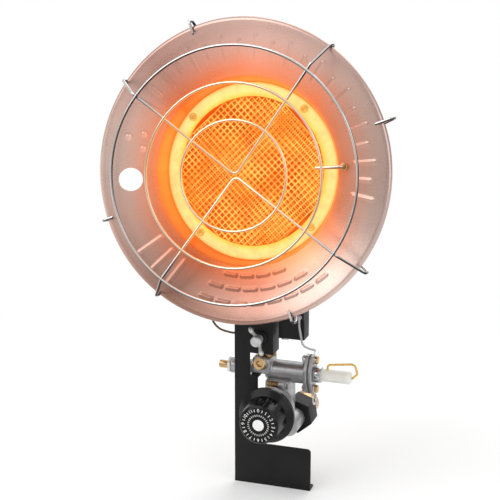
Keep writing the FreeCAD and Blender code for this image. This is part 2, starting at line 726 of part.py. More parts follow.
def make_head_arm():
    """Folded sheet arm: up behind the bracket, back under the burner, up its back."""
    front = PLATE_BACK
    run_top = "(Dim.arm_run + Dim.arm_wall)"
    leg_depth = "Dim.burner_back"
    leg_top = "-(Dim.burner_radius - 20)"

    def leg(depth, height):
        """A point of the leg at a height of the heater."""
        up = "((%s - Dim.head_z + (%s) * %s) / %s)" % (height, depth, SIN, COS)
        return ("Dim.head_y + (%s) * %s + %s * %s" % (depth, COS, up, SIN), height)

    def leg_end(depth):
        """The top end of the leg."""
        y = "Dim.head_y + (%s) * %s + (%s) * %s" % (depth, COS, leg_top, SIN)
        z = "Dim.head_z - (%s) * %s + (%s) * %s" % (depth, SIN, leg_top, COS)
        return (y, z)

    body = doc.addObject("PartDesign::Body", "HeadArm")
    side = sketch_on(body, "YZ_Plane", "Dim.arm_left")
    outline(side, [
        (front, "Dim.arm_bottom"),
        (ARM_BACK, "Dim.arm_bottom"),
        (ARM_BACK, "Dim.arm_run"),
        leg("%s + Dim.arm_wall" % leg_depth, "Dim.arm_run"),
        leg_end("%s + Dim.arm_wall" % leg_depth),
        leg_end(leg_depth),
        leg(leg_depth, run_top),
        (front, run_top),
    ])
    pad(body, side, "Dim.arm_right - Dim.arm_left")
    ear = sketch_on(body, "XZ_Plane", "-%s" % front)
    ear_left = "Dim.arm_right - 1"
    outline(ear, [
        (ear_left, "Dim.ear_bottom"),
        ("Dim.ear_right", "Dim.ear_bottom"),
        ("Dim.ear_right", "Dim.ear_top"),
        (ear_left, "Dim.ear_top"),
    ])
    pad(body, ear, "Dim.arm_wall", True)
    at(body, "0", "0", "0")
    clear = "Dim.fit_gap * 2"
    tools = [
        block("%s - %s" % (SIDE_INNER, clear), "Dim.ear_right + 1", "%s - 1" % front,
              "%s + 1" % ARM_BACK, "Dim.arm_bottom - 1", "Dim.ear_bottom"),
        rod_y("Dim.bolt_radius + Dim.fit_gap", "%s - 1" % front, "%s + 1" % ARM_BACK,
              "Dim.bolt_x", "Dim.bolt_z"),
        rod_z("Dim.tube_radius + 0.7", "Dim.arm_run - 1", "%s + 1" % run_top,
              "Dim.outlet_x", "Dim.valve_y"),
    ]
    tools += arm_screw_rods("1.5 + Dim.fit_gap", "%s - 1" % leg_depth, "%s + 4" % leg_depth)
    tools += switch_rods("1.2 + Dim.fit_gap", "%s - 1" % front, "%s + 1" % ARM_BACK)
    keep(cut(body, tools), "head_arm")


def make_arm_screws():
    """Two screws through the leg of the arm into the back of the burner."""
    heads = arm_screw_rods("3", "Dim.burner_back + Dim.arm_wall", "Dim.burner_back + Dim.arm_wall + 1.8")
    shanks = arm_screw_rods("1.5", "Dim.burner_back - 3", "Dim.burner_back + Dim.arm_wall + 1")
    pairs = [fuse([head, shank]) for head, shank in zip(heads, shanks)]
    keep(together(pairs), "arm_screws")


def make_clamp_bolt():
    """Bolt from behind the arm through the bracket, with its washer."""
    head_back = "%s + 3" % ARM_BACK
    front = "Dim.plate_y - 12"
    head = rod_y("Dim.bolt_radius * 1.9", ARM_BACK, head_back, "Dim.bolt_x", "Dim.bolt_z")
    shank = rod_y("Dim.bolt_radius", front, ARM_BACK, "Dim.bolt_x", "Dim.bolt_z")
    keep(fuse([head, shank]), "clamp_bolt")
    ring = rod_y("Dim.bolt_radius * 2.1", "Dim.plate_y - 1.4", "Dim.plate_y", "Dim.bolt_x", "Dim.bolt_z")
    hole = rod_y("Dim.bolt_radius + Dim.fit_gap", "Dim.plate_y - 3", "Dim.plate_y + 1",
                 "Dim.bolt_x", "Dim.bolt_z")
    keep(cut(ring, [hole]), "clamp_washer")


def make_wing_nut():
    """Wing nut in its own frame, axis along y, its seat at y = 0 and the wings forward."""
    body = doc.addObject("PartDesign::Body", "WingNut")
    hub = sketch_on(body, "XY_Plane")
    outline(hub, [
        ("Dim.bolt_radius + Dim.run_gap", "0"),
        ("Dim.bolt_radius * 1.7", "0"),
        ("Dim.bolt_radius * 1.5", "-6"),
        ("Dim.bolt_radius + Dim.run_gap", "-6"),
    ])
    revolve(body, hub)
    for side in (1, -1):
        wing = sketch_on(body, "XY_Plane", "-1")
        root = "%d * (Dim.bolt_radius + 0.8)" % side
        tip = "%d * Dim.wing_span" % side
        outline(wing, [
            (root, "-1"),
            ("%d * (Dim.wing_span - 3)" % side, "-4"),
            (tip, "-7"),
            (tip, "-10.5"),
            ("%d * (Dim.wing_span - 5)" % side, "-10.5"),
            (root, "-5.5"),
        ])
        pad(body, wing, "2")
    body.Placement = FreeCAD.Placement(V(0, 0, 0), FreeCAD.Rotation(V(0, 1, 0), -113))
    bind(body, {
        "Placement.Base.x": "Dim.bolt_x",
        "Placement.Base.y": "Dim.plate_y - 1.5",
        "Placement.Base.z": "Dim.bolt_z",
    })
    keep(body, "wing_nut")


def switch_rods(radius, start, end):
    """Cylinders at the two rivets that hold the tilt switch to the ear."""
    rods = []
    for height in ("Dim.ear_bottom + 5", "Dim.ear_top - 5"):
        rods.append(rod_y(radius, start, end, "(Dim.box_left + Dim.ear_right) / 2 + 1", height))
    return rods


def make_tilt_switch():
    """Switch box behind the ear, its two rivets and the terminal under it."""
    box = block("Dim.box_left", "Dim.ear_right", ARM_BACK, "%s + Dim.box_depth" % ARM_BACK,
                "Dim.box_bottom", "Dim.ear_top")
    holes = switch_rods("1.2 + Dim.fit_gap", "%s - 1" % ARM_BACK, "%s + 5" % ARM_BACK)
    box_back = "%s + Dim.box_depth" % ARM_BACK
    lead_hole = rod_y("Dim.lead_radius + Dim.fit_gap", "%s - 4" % box_back, "%s + 1" % box_back,
                      LEAD_END_X, LEAD_END_Z)
    keep(cut(box, holes + [lead_hole]), "tilt_switch")
    heads = switch_rods("2.2", "%s - 1.2" % PLATE_BACK, PLATE_BACK)
    shanks = switch_rods("1.2", PLATE_BACK, "%s + 4.5" % ARM_BACK)
    keep(together([fuse([head, shank]) for head, shank in zip(heads, shanks)]), "switch_rivets")
    middle = "%s + Dim.box_depth / 2" % ARM_BACK
    keep(block("Dim.box_left + 0.5", "Dim.box_left + 6.5", middle, "%s + 0.8" % middle,
               "Dim.box_bottom - 3.5", "Dim.box_bottom"), "switch_terminal")


LEAD_END_X = "((Dim.box_left + Dim.ear_right) / 2)"
LEAD_END_Z = "(Dim.box_bottom + 12)"


def make_leads():
    """Sensor lead behind the burner to the tilt switch, and the return lead to the valve."""
    thick = size("lead_radius")
    tail = from_head(on_dish(size("probe_turn"), probe_radius_place(), size("recess_depth") + 12))
    box_back = size("plate_y") + size("plate_wall") + size("arm_wall") + size("box_depth")
    end_x = (size("box_left") + size("ear_right")) / 2
    end_z = size("box_bottom") + 12
    straight = from_head(V(0, 1, 0)) - from_head(V(0, 0, 0))
    points = [
        tail,
        tail + straight * 16,
        V(39, -5, 201),
        V(10, 0, 172),
        V(-26, 0, 156),
        V(-60, -4, 135),
        V(-78, -15, 111),
        V(-81, -21, 85),
        V(-71, -27, 71),
        V(-54, -29, 69),
        V(-38, -23, 71),
        V(-22, -20, 74),
        V(-8, -21, 79),
        V(end_x, box_back + 9, end_z),
        V(end_x, box_back - 3.5, end_z),
    ]
    radii = round_bends(points, 20)
    print("sensor lead bends", [round(radius, 1) for radius in radii])
    keep(bent_wire(points, thick, radii), "sensor_lead")
    ear = size("plate_y") + size("plate_wall")
    top = V(size("ear_right") - 3.5, ear - 1.7, size("ear_bottom") + 1)
    tag = V(return_tag_x(), size("valve_y"), size("valve_z") + size("screw_rise") + 8)
    points = [
        top,
        top + V(0.2, 0, -6),
        top + V(2.9, 0.8, -22),
        top + V(8.5, 5, -26),
        tag + V(0.6, -5, 2.5),
        tag,
    ]
    radii = round_bends(points, 12)
    print("return lead bends", [round(radius, 1) for radius in radii])
    keep(bent_wire(points, thick, radii), "return_lead")
    bead = rod_y("2", "%s - 3.4" % PLATE_BACK, PLATE_BACK, "Dim.ear_right - 3.5", "Dim.ear_bottom + 3")
    keep(bead, "lead_bead")


def return_tag_x():
    """Middle of the wire tag under the upper flange screw, along X."""
    cover = size("pipe_right") + size("gasket_wall") + size("cover_wall")
    return cover + 0.4


# Valve


def screw_rods(radius, start, end):
    """Cylinders at the two flange screws."""
    rods = []
    for sign in ("+", "-"):
        rods.append(rod_x(radius, start, end, z="Dim.valve_z %s Dim.screw_rise" % sign))
    return rods


def oval(name, start, thickness):
    """Two-screw oval plate across the valve axis, bored for the button."""
    body = doc.addObject("PartDesign::Body", name)
    face = sketch_on(body, "YZ_Plane", start)
    width = "Dim.pipe_radius + 1.3"
    tip = "Dim.screw_rise + Dim.screw_radius * 1.9"
    slim = "Dim.screw_radius * 1.6"
    outline(face, [
        ("-(%s)" % slim, "-(%s)" % tip),
        (slim, "-(%s)" % tip),
        (width, "-Dim.pipe_radius * 0.55"),
        (width, "Dim.pipe_radius * 0.55"),
        (slim, tip),
        ("-(%s)" % slim, tip),
        ("-(%s)" % width, "Dim.pipe_radius * 0.55"),
        ("-(%s)" % width, "-Dim.pipe_radius * 0.55"),
    ])
    pad(body, face, thickness)
    return at(body, "0", "Dim.valve_y", "Dim.valve_z")


def make_valve_body():
    """Cast barrel with its flange, the outlet block and the neck for the magnet."""
    barrel = rod_x("Dim.pipe_radius", "Dim.pipe_left", "Dim.pipe_right")
    doc.recompute()
    end = V(size("pipe_left"), size("valve_y"), size("valve_z"))
    dome = doc.addObject("Part::Fillet", "Dome")
    dome.Base = barrel
    rounding = size("pipe_radius") * 0.55
    near = [number for number, edge in enumerate(barrel.Shape.Edges, start=1)
            if (edge.CenterOfMass - end).Length < 0.1]
    dome.Edges = [(near[0], rounding, rounding)]
    cast_flange = oval("CastFlange", "Dim.pipe_right - 3", "3")
    outlet = block("Dim.block_left", "Dim.pipe_left + 7", "Dim.valve_y - 11", "Dim.valve_y + 9",
                   SHELF_TOP, "Dim.block_top")
    boss = rod_y("5.8", "Dim.valve_y - 13.5", "Dim.valve_y - 10", PORT_X, PORT_Z)
    neck = rod_x("Dim.neck_radius", "Dim.neck_left", "Dim.block_left + 0.1")
    whole = fuse([dome, cast_flange, outlet, boss, neck])
    tools = [
        rod_x("Dim.pipe_bore", "Dim.pipe_left + 4", "Dim.pipe_right + 1"),
        rod_x("Dim.neck_radius - 1.5", "Dim.neck_left - 1", MAGNET_END),
        rod_x("2", "%s - 1" % MAGNET_END, "Dim.pipe_left + 5", z="Dim.valve_z + 2.5"),
        rod_z("3 + Dim.fit_gap", "Dim.valve_z", "Dim.block_top + 1", "Dim.outlet_x", "Dim.valve_y"),
        rod_y("3 + Dim.fit_gap", "Dim.valve_y - 15", "Dim.valve_y - 4", PORT_X, PORT_Z),
        rod_z("1.2 + Dim.fit_gap", "Dim.valve_z - 2", "%s + 4" % SHELF_TOP, SHELF_SCREW_X,
              SHELF_SCREW_Y),
    ]
    tools += screw_rods("Dim.screw_radius + Dim.fit_gap", "Dim.pipe_right - 4", "Dim.pipe_right + 1")
    keep(cut(whole, tools), "valve_body")


MAGNET_END = "(Dim.block_left - 2)"
PORT_X = "(Dim.outlet_x - 1)"
PORT_Z = "(Dim.block_top - 3.5)"


def make_port_plug():
    """Brass plug with a hexagon socket in the front port of the outlet block."""
    front = "(Dim.valve_y - 14.8)"
    head = rod_y("Dim.plug_radius", front, "Dim.valve_y - 13.5", PORT_X, PORT_Z)
    shank = rod_y("3", "Dim.valve_y - 13.5", "Dim.valve_y - 7", PORT_X, PORT_Z)
    socket = hexagon("Dim.plug_socket", "3")
    at(socket, PORT_X, "%s - 0.5" % front, PORT_Z, "Y")
    keep(cut(fuse([head, shank]), [socket]), "port_plug")


def make_valve_cover():
    """Gasket, cover, two brass screws and the collar that guides the button."""
    bore = "Dim.button_radius + 0.3"
    gasket = oval("Gasket", "Dim.pipe_right", "Dim.gasket_wall")
    gasket_holes = screw_rods("Dim.screw_radius + Dim.fit_gap", "Dim.pipe_right - 1", "%s + 1" % COVER_LEFT)
    gasket_holes.append(rod_x(bore, "Dim.pipe_right - 1", "%s + 1" % COVER_LEFT))
    keep(cut(gasket, gasket_holes), "valve_gasket")
    cover = oval("Cover", COVER_LEFT, "Dim.cover_wall")
    cover_holes = screw_rods("Dim.screw_radius + Dim.fit_gap", "%s - 1" % COVER_LEFT, "%s + 1" % COVER_RIGHT)
    cover_holes.append(rod_x(bore, "%s - 1" % COVER_LEFT, "%s + 1" % COVER_RIGHT))
    keep(cut(cover, cover_holes), "valve_cover")
    under_head = "(%s + 0.8)" % COVER_RIGHT
    heads = screw_rods("Dim.screw_radius * 1.7", under_head, "%s + 2.6" % under_head)
    shanks = screw_rods("Dim.screw_radius", "Dim.pipe_right - 6.5", under_head)
    keep(together([fuse([head, shank]) for head, shank in zip(heads, shanks)]), "flange_screws")
    nuts = []
    for sign in ("+", "-"):
        nut = hexagon("3.5", "2.6")
        at(nut, "Dim.pipe_right - 5.6", "Dim.valve_y", "Dim.valve_z %s Dim.screw_rise" % sign, "X")
        hole = rod_x("Dim.screw_radius + Dim.run_gap", "Dim.pipe_right - 7", "Dim.pipe_right - 2",
                     z="Dim.valve_z %s Dim.screw_rise" % sign)
        nuts.append(cut(nut, [hole]))
    keep(together(nuts), "flange_nuts")
    tube = rod_x("Dim.button_radius + 1.4", COVER_RIGHT, COLLAR_RIGHT)
    hole = rod_x("Dim.button_radius + Dim.run_gap", "%s - 1" % COVER_RIGHT, "%s + 1" % COLLAR_RIGHT)
    keep(cut(tube, [hole]), "button_collar")


def make_wire_tags():
    """Ring tags under the two flange screws: one for the return lead, one spare loop."""
    end = "(%s + 0.8)" % COVER_RIGHT
    upper = "Dim.valve_z + Dim.screw_rise"
    lower = "Dim.valve_z - Dim.screw_rise"
    ring = rod_x("Dim.screw_radius + 2", COVER_RIGHT, end, z=upper)
    stalk = block(COVER_RIGHT, end, "Dim.valve_y - 1.2", "Dim.valve_y + 1.2",
                  "%s + 2" % upper, "%s + 7" % upper)
    hole = rod_x("Dim.screw_radius + Dim.fit_gap", "%s - 1" % COVER_RIGHT, "%s + 1" % end, z=upper)
    keep(cut(fuse([ring, stalk]), [hole]), "return_tag")
    ring = rod_x("Dim.screw_radius + 2", COVER_RIGHT, end, z=lower)
    loop_place = "%s - 9" % lower
    loop = rod_x("5.4", COVER_RIGHT, end, z=loop_place)
    hole = rod_x("Dim.screw_radius + Dim.fit_gap", "%s - 1" % COVER_RIGHT, "%s + 1" % end, z=lower)
    eye = rod_x("4.2", "%s - 1" % COVER_RIGHT, "%s + 1" % end, z=loop_place)
    keep(cut(fuse([ring, loop]), [hole, eye]), "loop_tag")


def make_magnet_unit():
    """Magnet in the neck, its lock nut outside and the brass connector on the left."""
    face = "Dim.neck_left - 2.8"
    core = rod_x("Dim.neck_radius - 1.5 - Dim.fit_gap", "Dim.neck_left", "%s - 1" % MAGNET_END)
    tail = rod_x("3.3", face, "Dim.neck_left")
    keep(fuse([core, tail]), "magnet_unit")
    nut = hexagon("7.3", "2.8 - Dim.fit_gap")
    at(nut, face, "Dim.valve_y", "Dim.valve_z", "X")
    keep(cut(nut, [rod_x("3.3 + Dim.fit_gap", "%s - 1" % face, "Dim.neck_left + 1")]), "magnet_nut")
    outer = rod_x("3.35", "%s - 8.4" % face, face)
    bore = rod_x("1.6", "%s - 9" % face, "%s - 4" % face)
    keep(cut(outer, [bore]), "magnet_connector")
    washer = rod_x("Dim.neck_radius + 1.2", "Dim.block_left - 2.4", "Dim.block_left")
    hole = rod_x("Dim.neck_radius + Dim.fit_gap", "Dim.block_left - 4", "Dim.block_left + 1")
    keep(cut(washer, [hole]), "neck_washer")


def make_button():
    """Push button with its plunger, valve disc, return spring and wire handle."""
    left = BUTTON_LEFT
    body = rod_x("Dim.button_radius", left, "Dim.button_end")
    keep(body, "push_button")
    disc_left = "Dim.pipe_left + 4 + Dim.button_travel + 1"
    rod = rod_x("1.5", disc_left, left)
    disc = rod_x("Dim.pipe_bore - 0.4", disc_left, "%s + 2" % disc_left)
    keep(fuse([rod, disc]), "plunger")
    outer = rod_x("Dim.button_radius - 0.9", "%s + 6" % disc_left, "%s - 0.1" % left)
    inner = rod_x("2", "%s + 5" % disc_left, "%s + 1" % left)
    keep(cut(outer, [inner]), "return_spring")
    top = size("valve_z") + size("button_radius")
    start = size("pipe_right") + 15.5
    end = size("button_end")
    y = size("valve_y")
    rise = size("handle_rise")
    points = [
        V(start, y, top + 0.05),
        V(start, y, top + rise),
        V(end + 3, y, top + rise + 3),
        V(end + 5.4, y, top - 1),
        V(end + 0.9, y, size("valve_z") - 0.5),
    ]
    keep(bent_wire(points, size("handle_wire"), [2.6, 3.6, 2.2]), "handle_wire")


def make_shelf_screw():
    """Screw from below through the shelf into the outlet block."""
    under = "(%s - Dim.plate_wall)" % SHELF_TOP
    head = rod_z("2.4", "%s - 1.6" % under, under, SHELF_SCREW_X, SHELF_SCREW_Y)
    shank = rod_z("1.2", under, "%s + 3.5" % SHELF_TOP, SHELF_SCREW_X, SHELF_SCREW_Y)
    keep(fuse([head, shank]), "shelf_screw")


def make_outlet():
    """Injector nut with its jet, and the mixing tube with four air holes."""
    nut = hexagon("(Dim.tube_radius - 0.4) / cos(30)", "Dim.nut_height")
    at(nut, "Dim.outlet_x", "Dim.valve_y", "Dim.block_top")
    shank = rod_z("3", "Dim.valve_z + 6", "Dim.block_top", "Dim.outlet_x", "Dim.valve_y")
    jet = rod_z("2.6", NUT_TOP, "%s + 7" % NUT_TOP, "Dim.outlet_x", "Dim.valve_y")
    way = rod_z("0.8", "Dim.valve_z + 5", "%s + 8" % NUT_TOP, "Dim.outlet_x", "Dim.valve_y")
    keep(cut(fuse([nut, shank, jet]), [way]), "injector_nut")
    tube = rod_z("Dim.tube_radius", NUT_TOP, "Dim.tube_top", "Dim.outlet_x", "Dim.valve_y")
    bore = rod_z("Dim.tube_radius - Dim.tube_wall", "%s - 1" % NUT_TOP, "Dim.tube_top + 1",
                 "Dim.outlet_x", "Dim.valve_y")
    air = "%s + 10" % NUT_TOP
    across = rod_x("2.8", "Dim.outlet_x - 12", "Dim.outlet_x + 12", z=air)
    along = rod_y("2.8", "Dim.valve_y - 12", "Dim.valve_y + 12", "Dim.outlet_x", air)
    keep(cut(tube, [bore, across, along]), "mixing_tube")


# Regulator, knob and inlet


def axis_rod(radius, start, end):
    """A cylinder on the regulator axis."""
    return rod_y(radius, start, end, "Dim.knob_x", "Dim.knob_z")


def make_regulator():
    """Bonnet, diaphragm, case with its neck and inlet boss, spring and spring cup."""
    bonnet = axis_rod("Dim.bonnet_radius", BONNET_FRONT, BONNET_BACK)
    cavity = axis_rod("Dim.bonnet_radius - 6", "%s + 3" % BONNET_FRONT, "%s + 1" % BONNET_BACK)
    spindle_hole = axis_rod("Dim.spindle_radius + Dim.run_gap", "%s - 1" % BONNET_FRONT,
                            "%s + 4" % BONNET_FRONT)
    keep(cut(bonnet, [cavity, spindle_hole]), "regulator_bonnet")
    keep(axis_rod("Dim.case_radius - 1.5", BONNET_BACK, CASE_FRONT), "diaphragm")
    case = axis_rod("Dim.case_radius", CASE_FRONT, CASE_BACK)
    neck = block("Dim.knob_x - 9", "Dim.knob_x + 11", CASE_BACK, "Dim.valve_y + 5", "-4",
                 "Dim.valve_z - 4")
    stub = rod_y("Dim.stub_radius", CASE_BACK, "%s - 1" % WHEEL_FRONT, "0", "0")
    plug_boss = rod_x("3.3", "Dim.knob_x + 4", "Dim.knob_x + 8.5", PLUG_Y, PLUG_Z)
    whole = fuse([case, neck, stub, plug_boss])
    tools = [
        rod_x("Dim.pipe_radius", "Dim.pipe_left", "Dim.pipe_right"),
        axis_rod("Dim.case_radius - 5", "%s - 1" % CASE_FRONT, "%s + 4" % CASE_FRONT),
        rod_y("Dim.stem_radius + Dim.fit_gap", "%s - 12" % WHEEL_FRONT, WHEEL_FRONT, "0", "0"),
        rod_y("Dim.stem_bore", "%s + 2" % CASE_BACK, WHEEL_FRONT, "0", "0"),
        rod_x("1.5 + Dim.fit_gap", "Dim.knob_x + 3", "Dim.knob_x + 7.5", PLUG_Y, PLUG_Z),
    ]
    keep(cut(whole, tools), "regulator_case")
    spring = axis_rod("6.5", "%s - 6" % BONNET_BACK, BONNET_BACK)
    core = axis_rod("4.5", "%s - 7" % BONNET_BACK, "%s + 1" % BONNET_BACK)
    keep(cut(spring, [core]), "regulator_spring")
    cup_back = "%s - 6 - Dim.cup_travel - 0.2" % BONNET_BACK
    keep(axis_rod("8", "%s - 1.4" % cup_back, cup_back), "spring_cup")


PLUG_Y = "(%s + Dim.case_length / 2)" % CASE_FRONT
PLUG_Z = "(Dim.knob_z + Dim.case_radius + 2.7)"


def make_bleed_plug():
    """Small brass hexagon plug in the boss above the regulator case."""
    bar = hexagon("Dim.bleed_radius", "Dim.bleed_length")
    at(bar, "Dim.knob_x + 3.8 - Dim.bleed_length", PLUG_Y, PLUG_Z, "X")
    shank = rod_x("1.5", "Dim.knob_x + 3.5", "Dim.knob_x + 7", PLUG_Y, PLUG_Z)
    link = rod_x("1.9", "Dim.knob_x + 3.7", "Dim.knob_x + 4", PLUG_Y, PLUG_Z)
    keep(fuse([bar, link, shank]), "bleed_plug")


def make_knob():
    """Stepped knob with finger flutes, its spindle and the cap on its face."""
    body = doc.addObject("PartDesign::Body", "Knob")
    profile = sketch_on(body, "XY_Plane")
    outline(profile, [
        ("0", "0"),
        ("Dim.knob_face - 1.8", "0"),
        ("Dim.knob_face", "1.5"),
        ("Dim.knob_grip", "Dim.knob_length - 7"),
        ("Dim.knob_skirt", "Dim.knob_length - 3"),
        ("Dim.knob_skirt", "Dim.knob_length"),
        ("0", "Dim.knob_length"),
    ])
    revolve(body, profile)
    flute = sketch_on(body, "XZ_Plane", "1")
    circle(flute, "0", "Dim.knob_grip + Dim.flute_radius - 1.4", "Dim.flute_radius")
    doc.recompute()
    before = body.Shape.Volume
    groove = body.newObject("PartDesign::Pocket", "Flute")
    groove.Profile = flute
    groove.Type = "Length"
    groove.setExpression("Length", "Dim.knob_length - 6")
    doc.recompute()
    pattern = body.newObject("PartDesign::PolarPattern", "Flutes")
    pattern.Originals = [groove]
    pattern.Axis = (profile, ["V_Axis"])
    pattern.Angle = 360
    pattern.Occurrences = 12
    body.Tip = pattern
    doc.recompute()
    if not body.Shape.Volume < before:
        raise RuntimeError("the knob's flutes cut nothing")
    bore = sketch_on(body, "XZ_Plane", "-Dim.knob_length / 2")
    circle(bore, "0", "0", "Dim.spindle_radius + Dim.fit_gap")
    pocket(body, bore)
    keep(at(body, "Dim.knob_x", "Dim.knob_front", "Dim.knob_z"), "knob")
    cup_front = "(%s - 6 - Dim.cup_travel - 0.2 - 1.4)" % BONNET_BACK
    keep(axis_rod("Dim.spindle_radius", "Dim.knob_front + Dim.knob_length / 2 + 0.2",
                  "%s - 0.2" % cup_front), "knob_spindle")
    keep(axis_rod("4.75", "Dim.knob_front - 0.4", "Dim.knob_front"), "knob_cap")


def make_inlet():
    """Brass stem with its soft nose, and the threaded nut inside the hand wheel."""
    start = "(%s - 11)" % WHEEL_FRONT
    shoulder = "(%s + 0.3)" % THREAD_END
    nipple = "(%s + 0.3 + Dim.nose_length)" % THREAD_END
    shaft = rod_y("Dim.stem_radius", start, shoulder, "0", "0")
    collar = rod_y("Dim.nose_radius - 0.3", shoulder, "%s + 2" % shoulder, "0", "0")
    tip = rod_y("Dim.stem_radius - 0.5", shoulder, nipple, "0", "0")
    way = rod_y("Dim.stem_bore", "%s - 1" % start, "%s + 1" % nipple, "0", "0")
    keep(cut(fuse([shaft, collar, tip]), [way]), "inlet_stem")
    nose = turned("SoftNose", [
        ("Dim.stem_radius - 0.5 + Dim.fit_gap", "2"),
        ("Dim.nose_radius", "2"),
        ("Dim.nose_radius", "5"),
        ("Dim.nose_radius - 2", "Dim.nose_length"),
        ("Dim.stem_radius - 0.5 + Dim.fit_gap", "Dim.nose_length"),
    ])
    keep(at(nose, "0", shoulder, "0"), "soft_nose")
    inner = "Dim.thread_radius - 2.7"
    nut = turned("InletNut", [
        ("Dim.stem_radius + Dim.run_gap", "2 - Dim.wheel_length"),
        (inner, "2 - Dim.wheel_length"),
        (inner, "0"),
        ("Dim.thread_radius", "0"),
        ("Dim.thread_radius", "Dim.thread_length"),
        ("Dim.stem_radius + Dim.run_gap", "Dim.thread_length"),
    ])
    keep(at(nut, "0", "Dim.thread_start", "0"), "inlet_nut")
    wheel = hexagon("Dim.wheel_radius", "Dim.wheel_length")
    turn = FreeCAD.Rotation(V(0, 1, 0), -size("wheel_turn"))
    at(wheel, "0", WHEEL_FRONT, "0", "Y")
    wheel.Placement = FreeCAD.Placement(V(0, 0, 0), turn.multiply(turn_for("Y")))
    wheel.setExpression("Placement.Base.y", WHEEL_FRONT)
    hole = rod_y("%s + Dim.fit_gap" % inner, "%s + 2 - Dim.fit_gap" % WHEEL_FRONT, "Dim.thread_start + 1",
                 "0", "0")
    way = rod_y("Dim.stem_radius + 0.5", "%s - 1" % WHEEL_FRONT, "Dim.thread_start", "0", "0")
    keep(cut(wheel, [hole, way]), "hand_wheel")


def check_document():
    """Stops unless every object is up to date and every sub-part is a sound solid."""
    doc.recompute()
    for thing in doc.Objects:
        for state in thing.State:
            if state in ("Invalid", "Error"):
                raise RuntimeError("%s is %s" % (thing.Label, state))
    for node in nodes:
        shape = node.Shape
        if shape.isNull() or not shape.isValid() or not shape.Solids:
            raise RuntimeError("%s has no sound solid" % node.Label)


def write_steps():
    """Writes each sub-part to its own file in parts."""
    os.makedirs("parts", exist_ok=True)
    for node in nodes:
        node.Shape.exportStep("parts/%s.step" % node.Label)
        print("%-20s %2d solids %10.1f mm3" % (node.Label, len(node.Shape.Solids), node.Shape.Volume))


make_reflector()
make_burner()
make_flange_rivets()
make_guard()
make_rear_frame()
make_flame_sensor()
make_bracket()
make_head_arm()
make_arm_screws()
make_clamp_bolt()
make_wing_nut()
make_tilt_switch()
make_leads()
make_valve_body()
make_port_plug()
make_valve_cover()
make_wire_tags()
make_magnet_unit()
make_button()
make_shelf_screw()
make_outlet()
make_regulator()
make_bleed_plug()
make_knob()
make_inlet()
check_document()
write_steps()
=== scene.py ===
"""Looks of a portable propane heater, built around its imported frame.

Lengths are in metres. +X is to the right seen from the front, -Y is the front and +Z is up.
The origin is on the axis of the inlet thread.
"""
import logging
import math
from dataclasses import dataclass, field
from enum import Enum
from typing import Any, Iterable, Optional, Sequence

import bmesh
import bpy
import numpy as np
from mathutils import Matrix, Vector


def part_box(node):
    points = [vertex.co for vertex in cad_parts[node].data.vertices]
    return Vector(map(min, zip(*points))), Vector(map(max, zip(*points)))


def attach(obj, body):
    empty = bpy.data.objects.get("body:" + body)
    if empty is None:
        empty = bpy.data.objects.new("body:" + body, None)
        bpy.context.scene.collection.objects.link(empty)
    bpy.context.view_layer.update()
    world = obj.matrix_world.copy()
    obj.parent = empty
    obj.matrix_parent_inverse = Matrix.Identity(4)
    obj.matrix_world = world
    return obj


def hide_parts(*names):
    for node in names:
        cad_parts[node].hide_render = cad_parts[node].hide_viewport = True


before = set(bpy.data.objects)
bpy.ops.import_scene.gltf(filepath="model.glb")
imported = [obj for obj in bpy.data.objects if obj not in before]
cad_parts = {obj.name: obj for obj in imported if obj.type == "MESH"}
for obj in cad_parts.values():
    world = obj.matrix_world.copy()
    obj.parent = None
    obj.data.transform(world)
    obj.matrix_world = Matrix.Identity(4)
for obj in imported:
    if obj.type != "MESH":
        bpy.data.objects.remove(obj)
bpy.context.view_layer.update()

MM = 0.001
AXIS_GAP = 1e-7
LOG = logging.getLogger("heater")

Color = tuple[float, float, float]
Socket = bpy.types.NodeSocket


class Body(Enum):
    """The bodies that a piece can ride on."""

    HEATER = "heater"
    KNOB = "knob"
    BUTTON = "button"
    HAND_WHEEL = "hand_wheel"
    WING_NUT = "wing_nut"


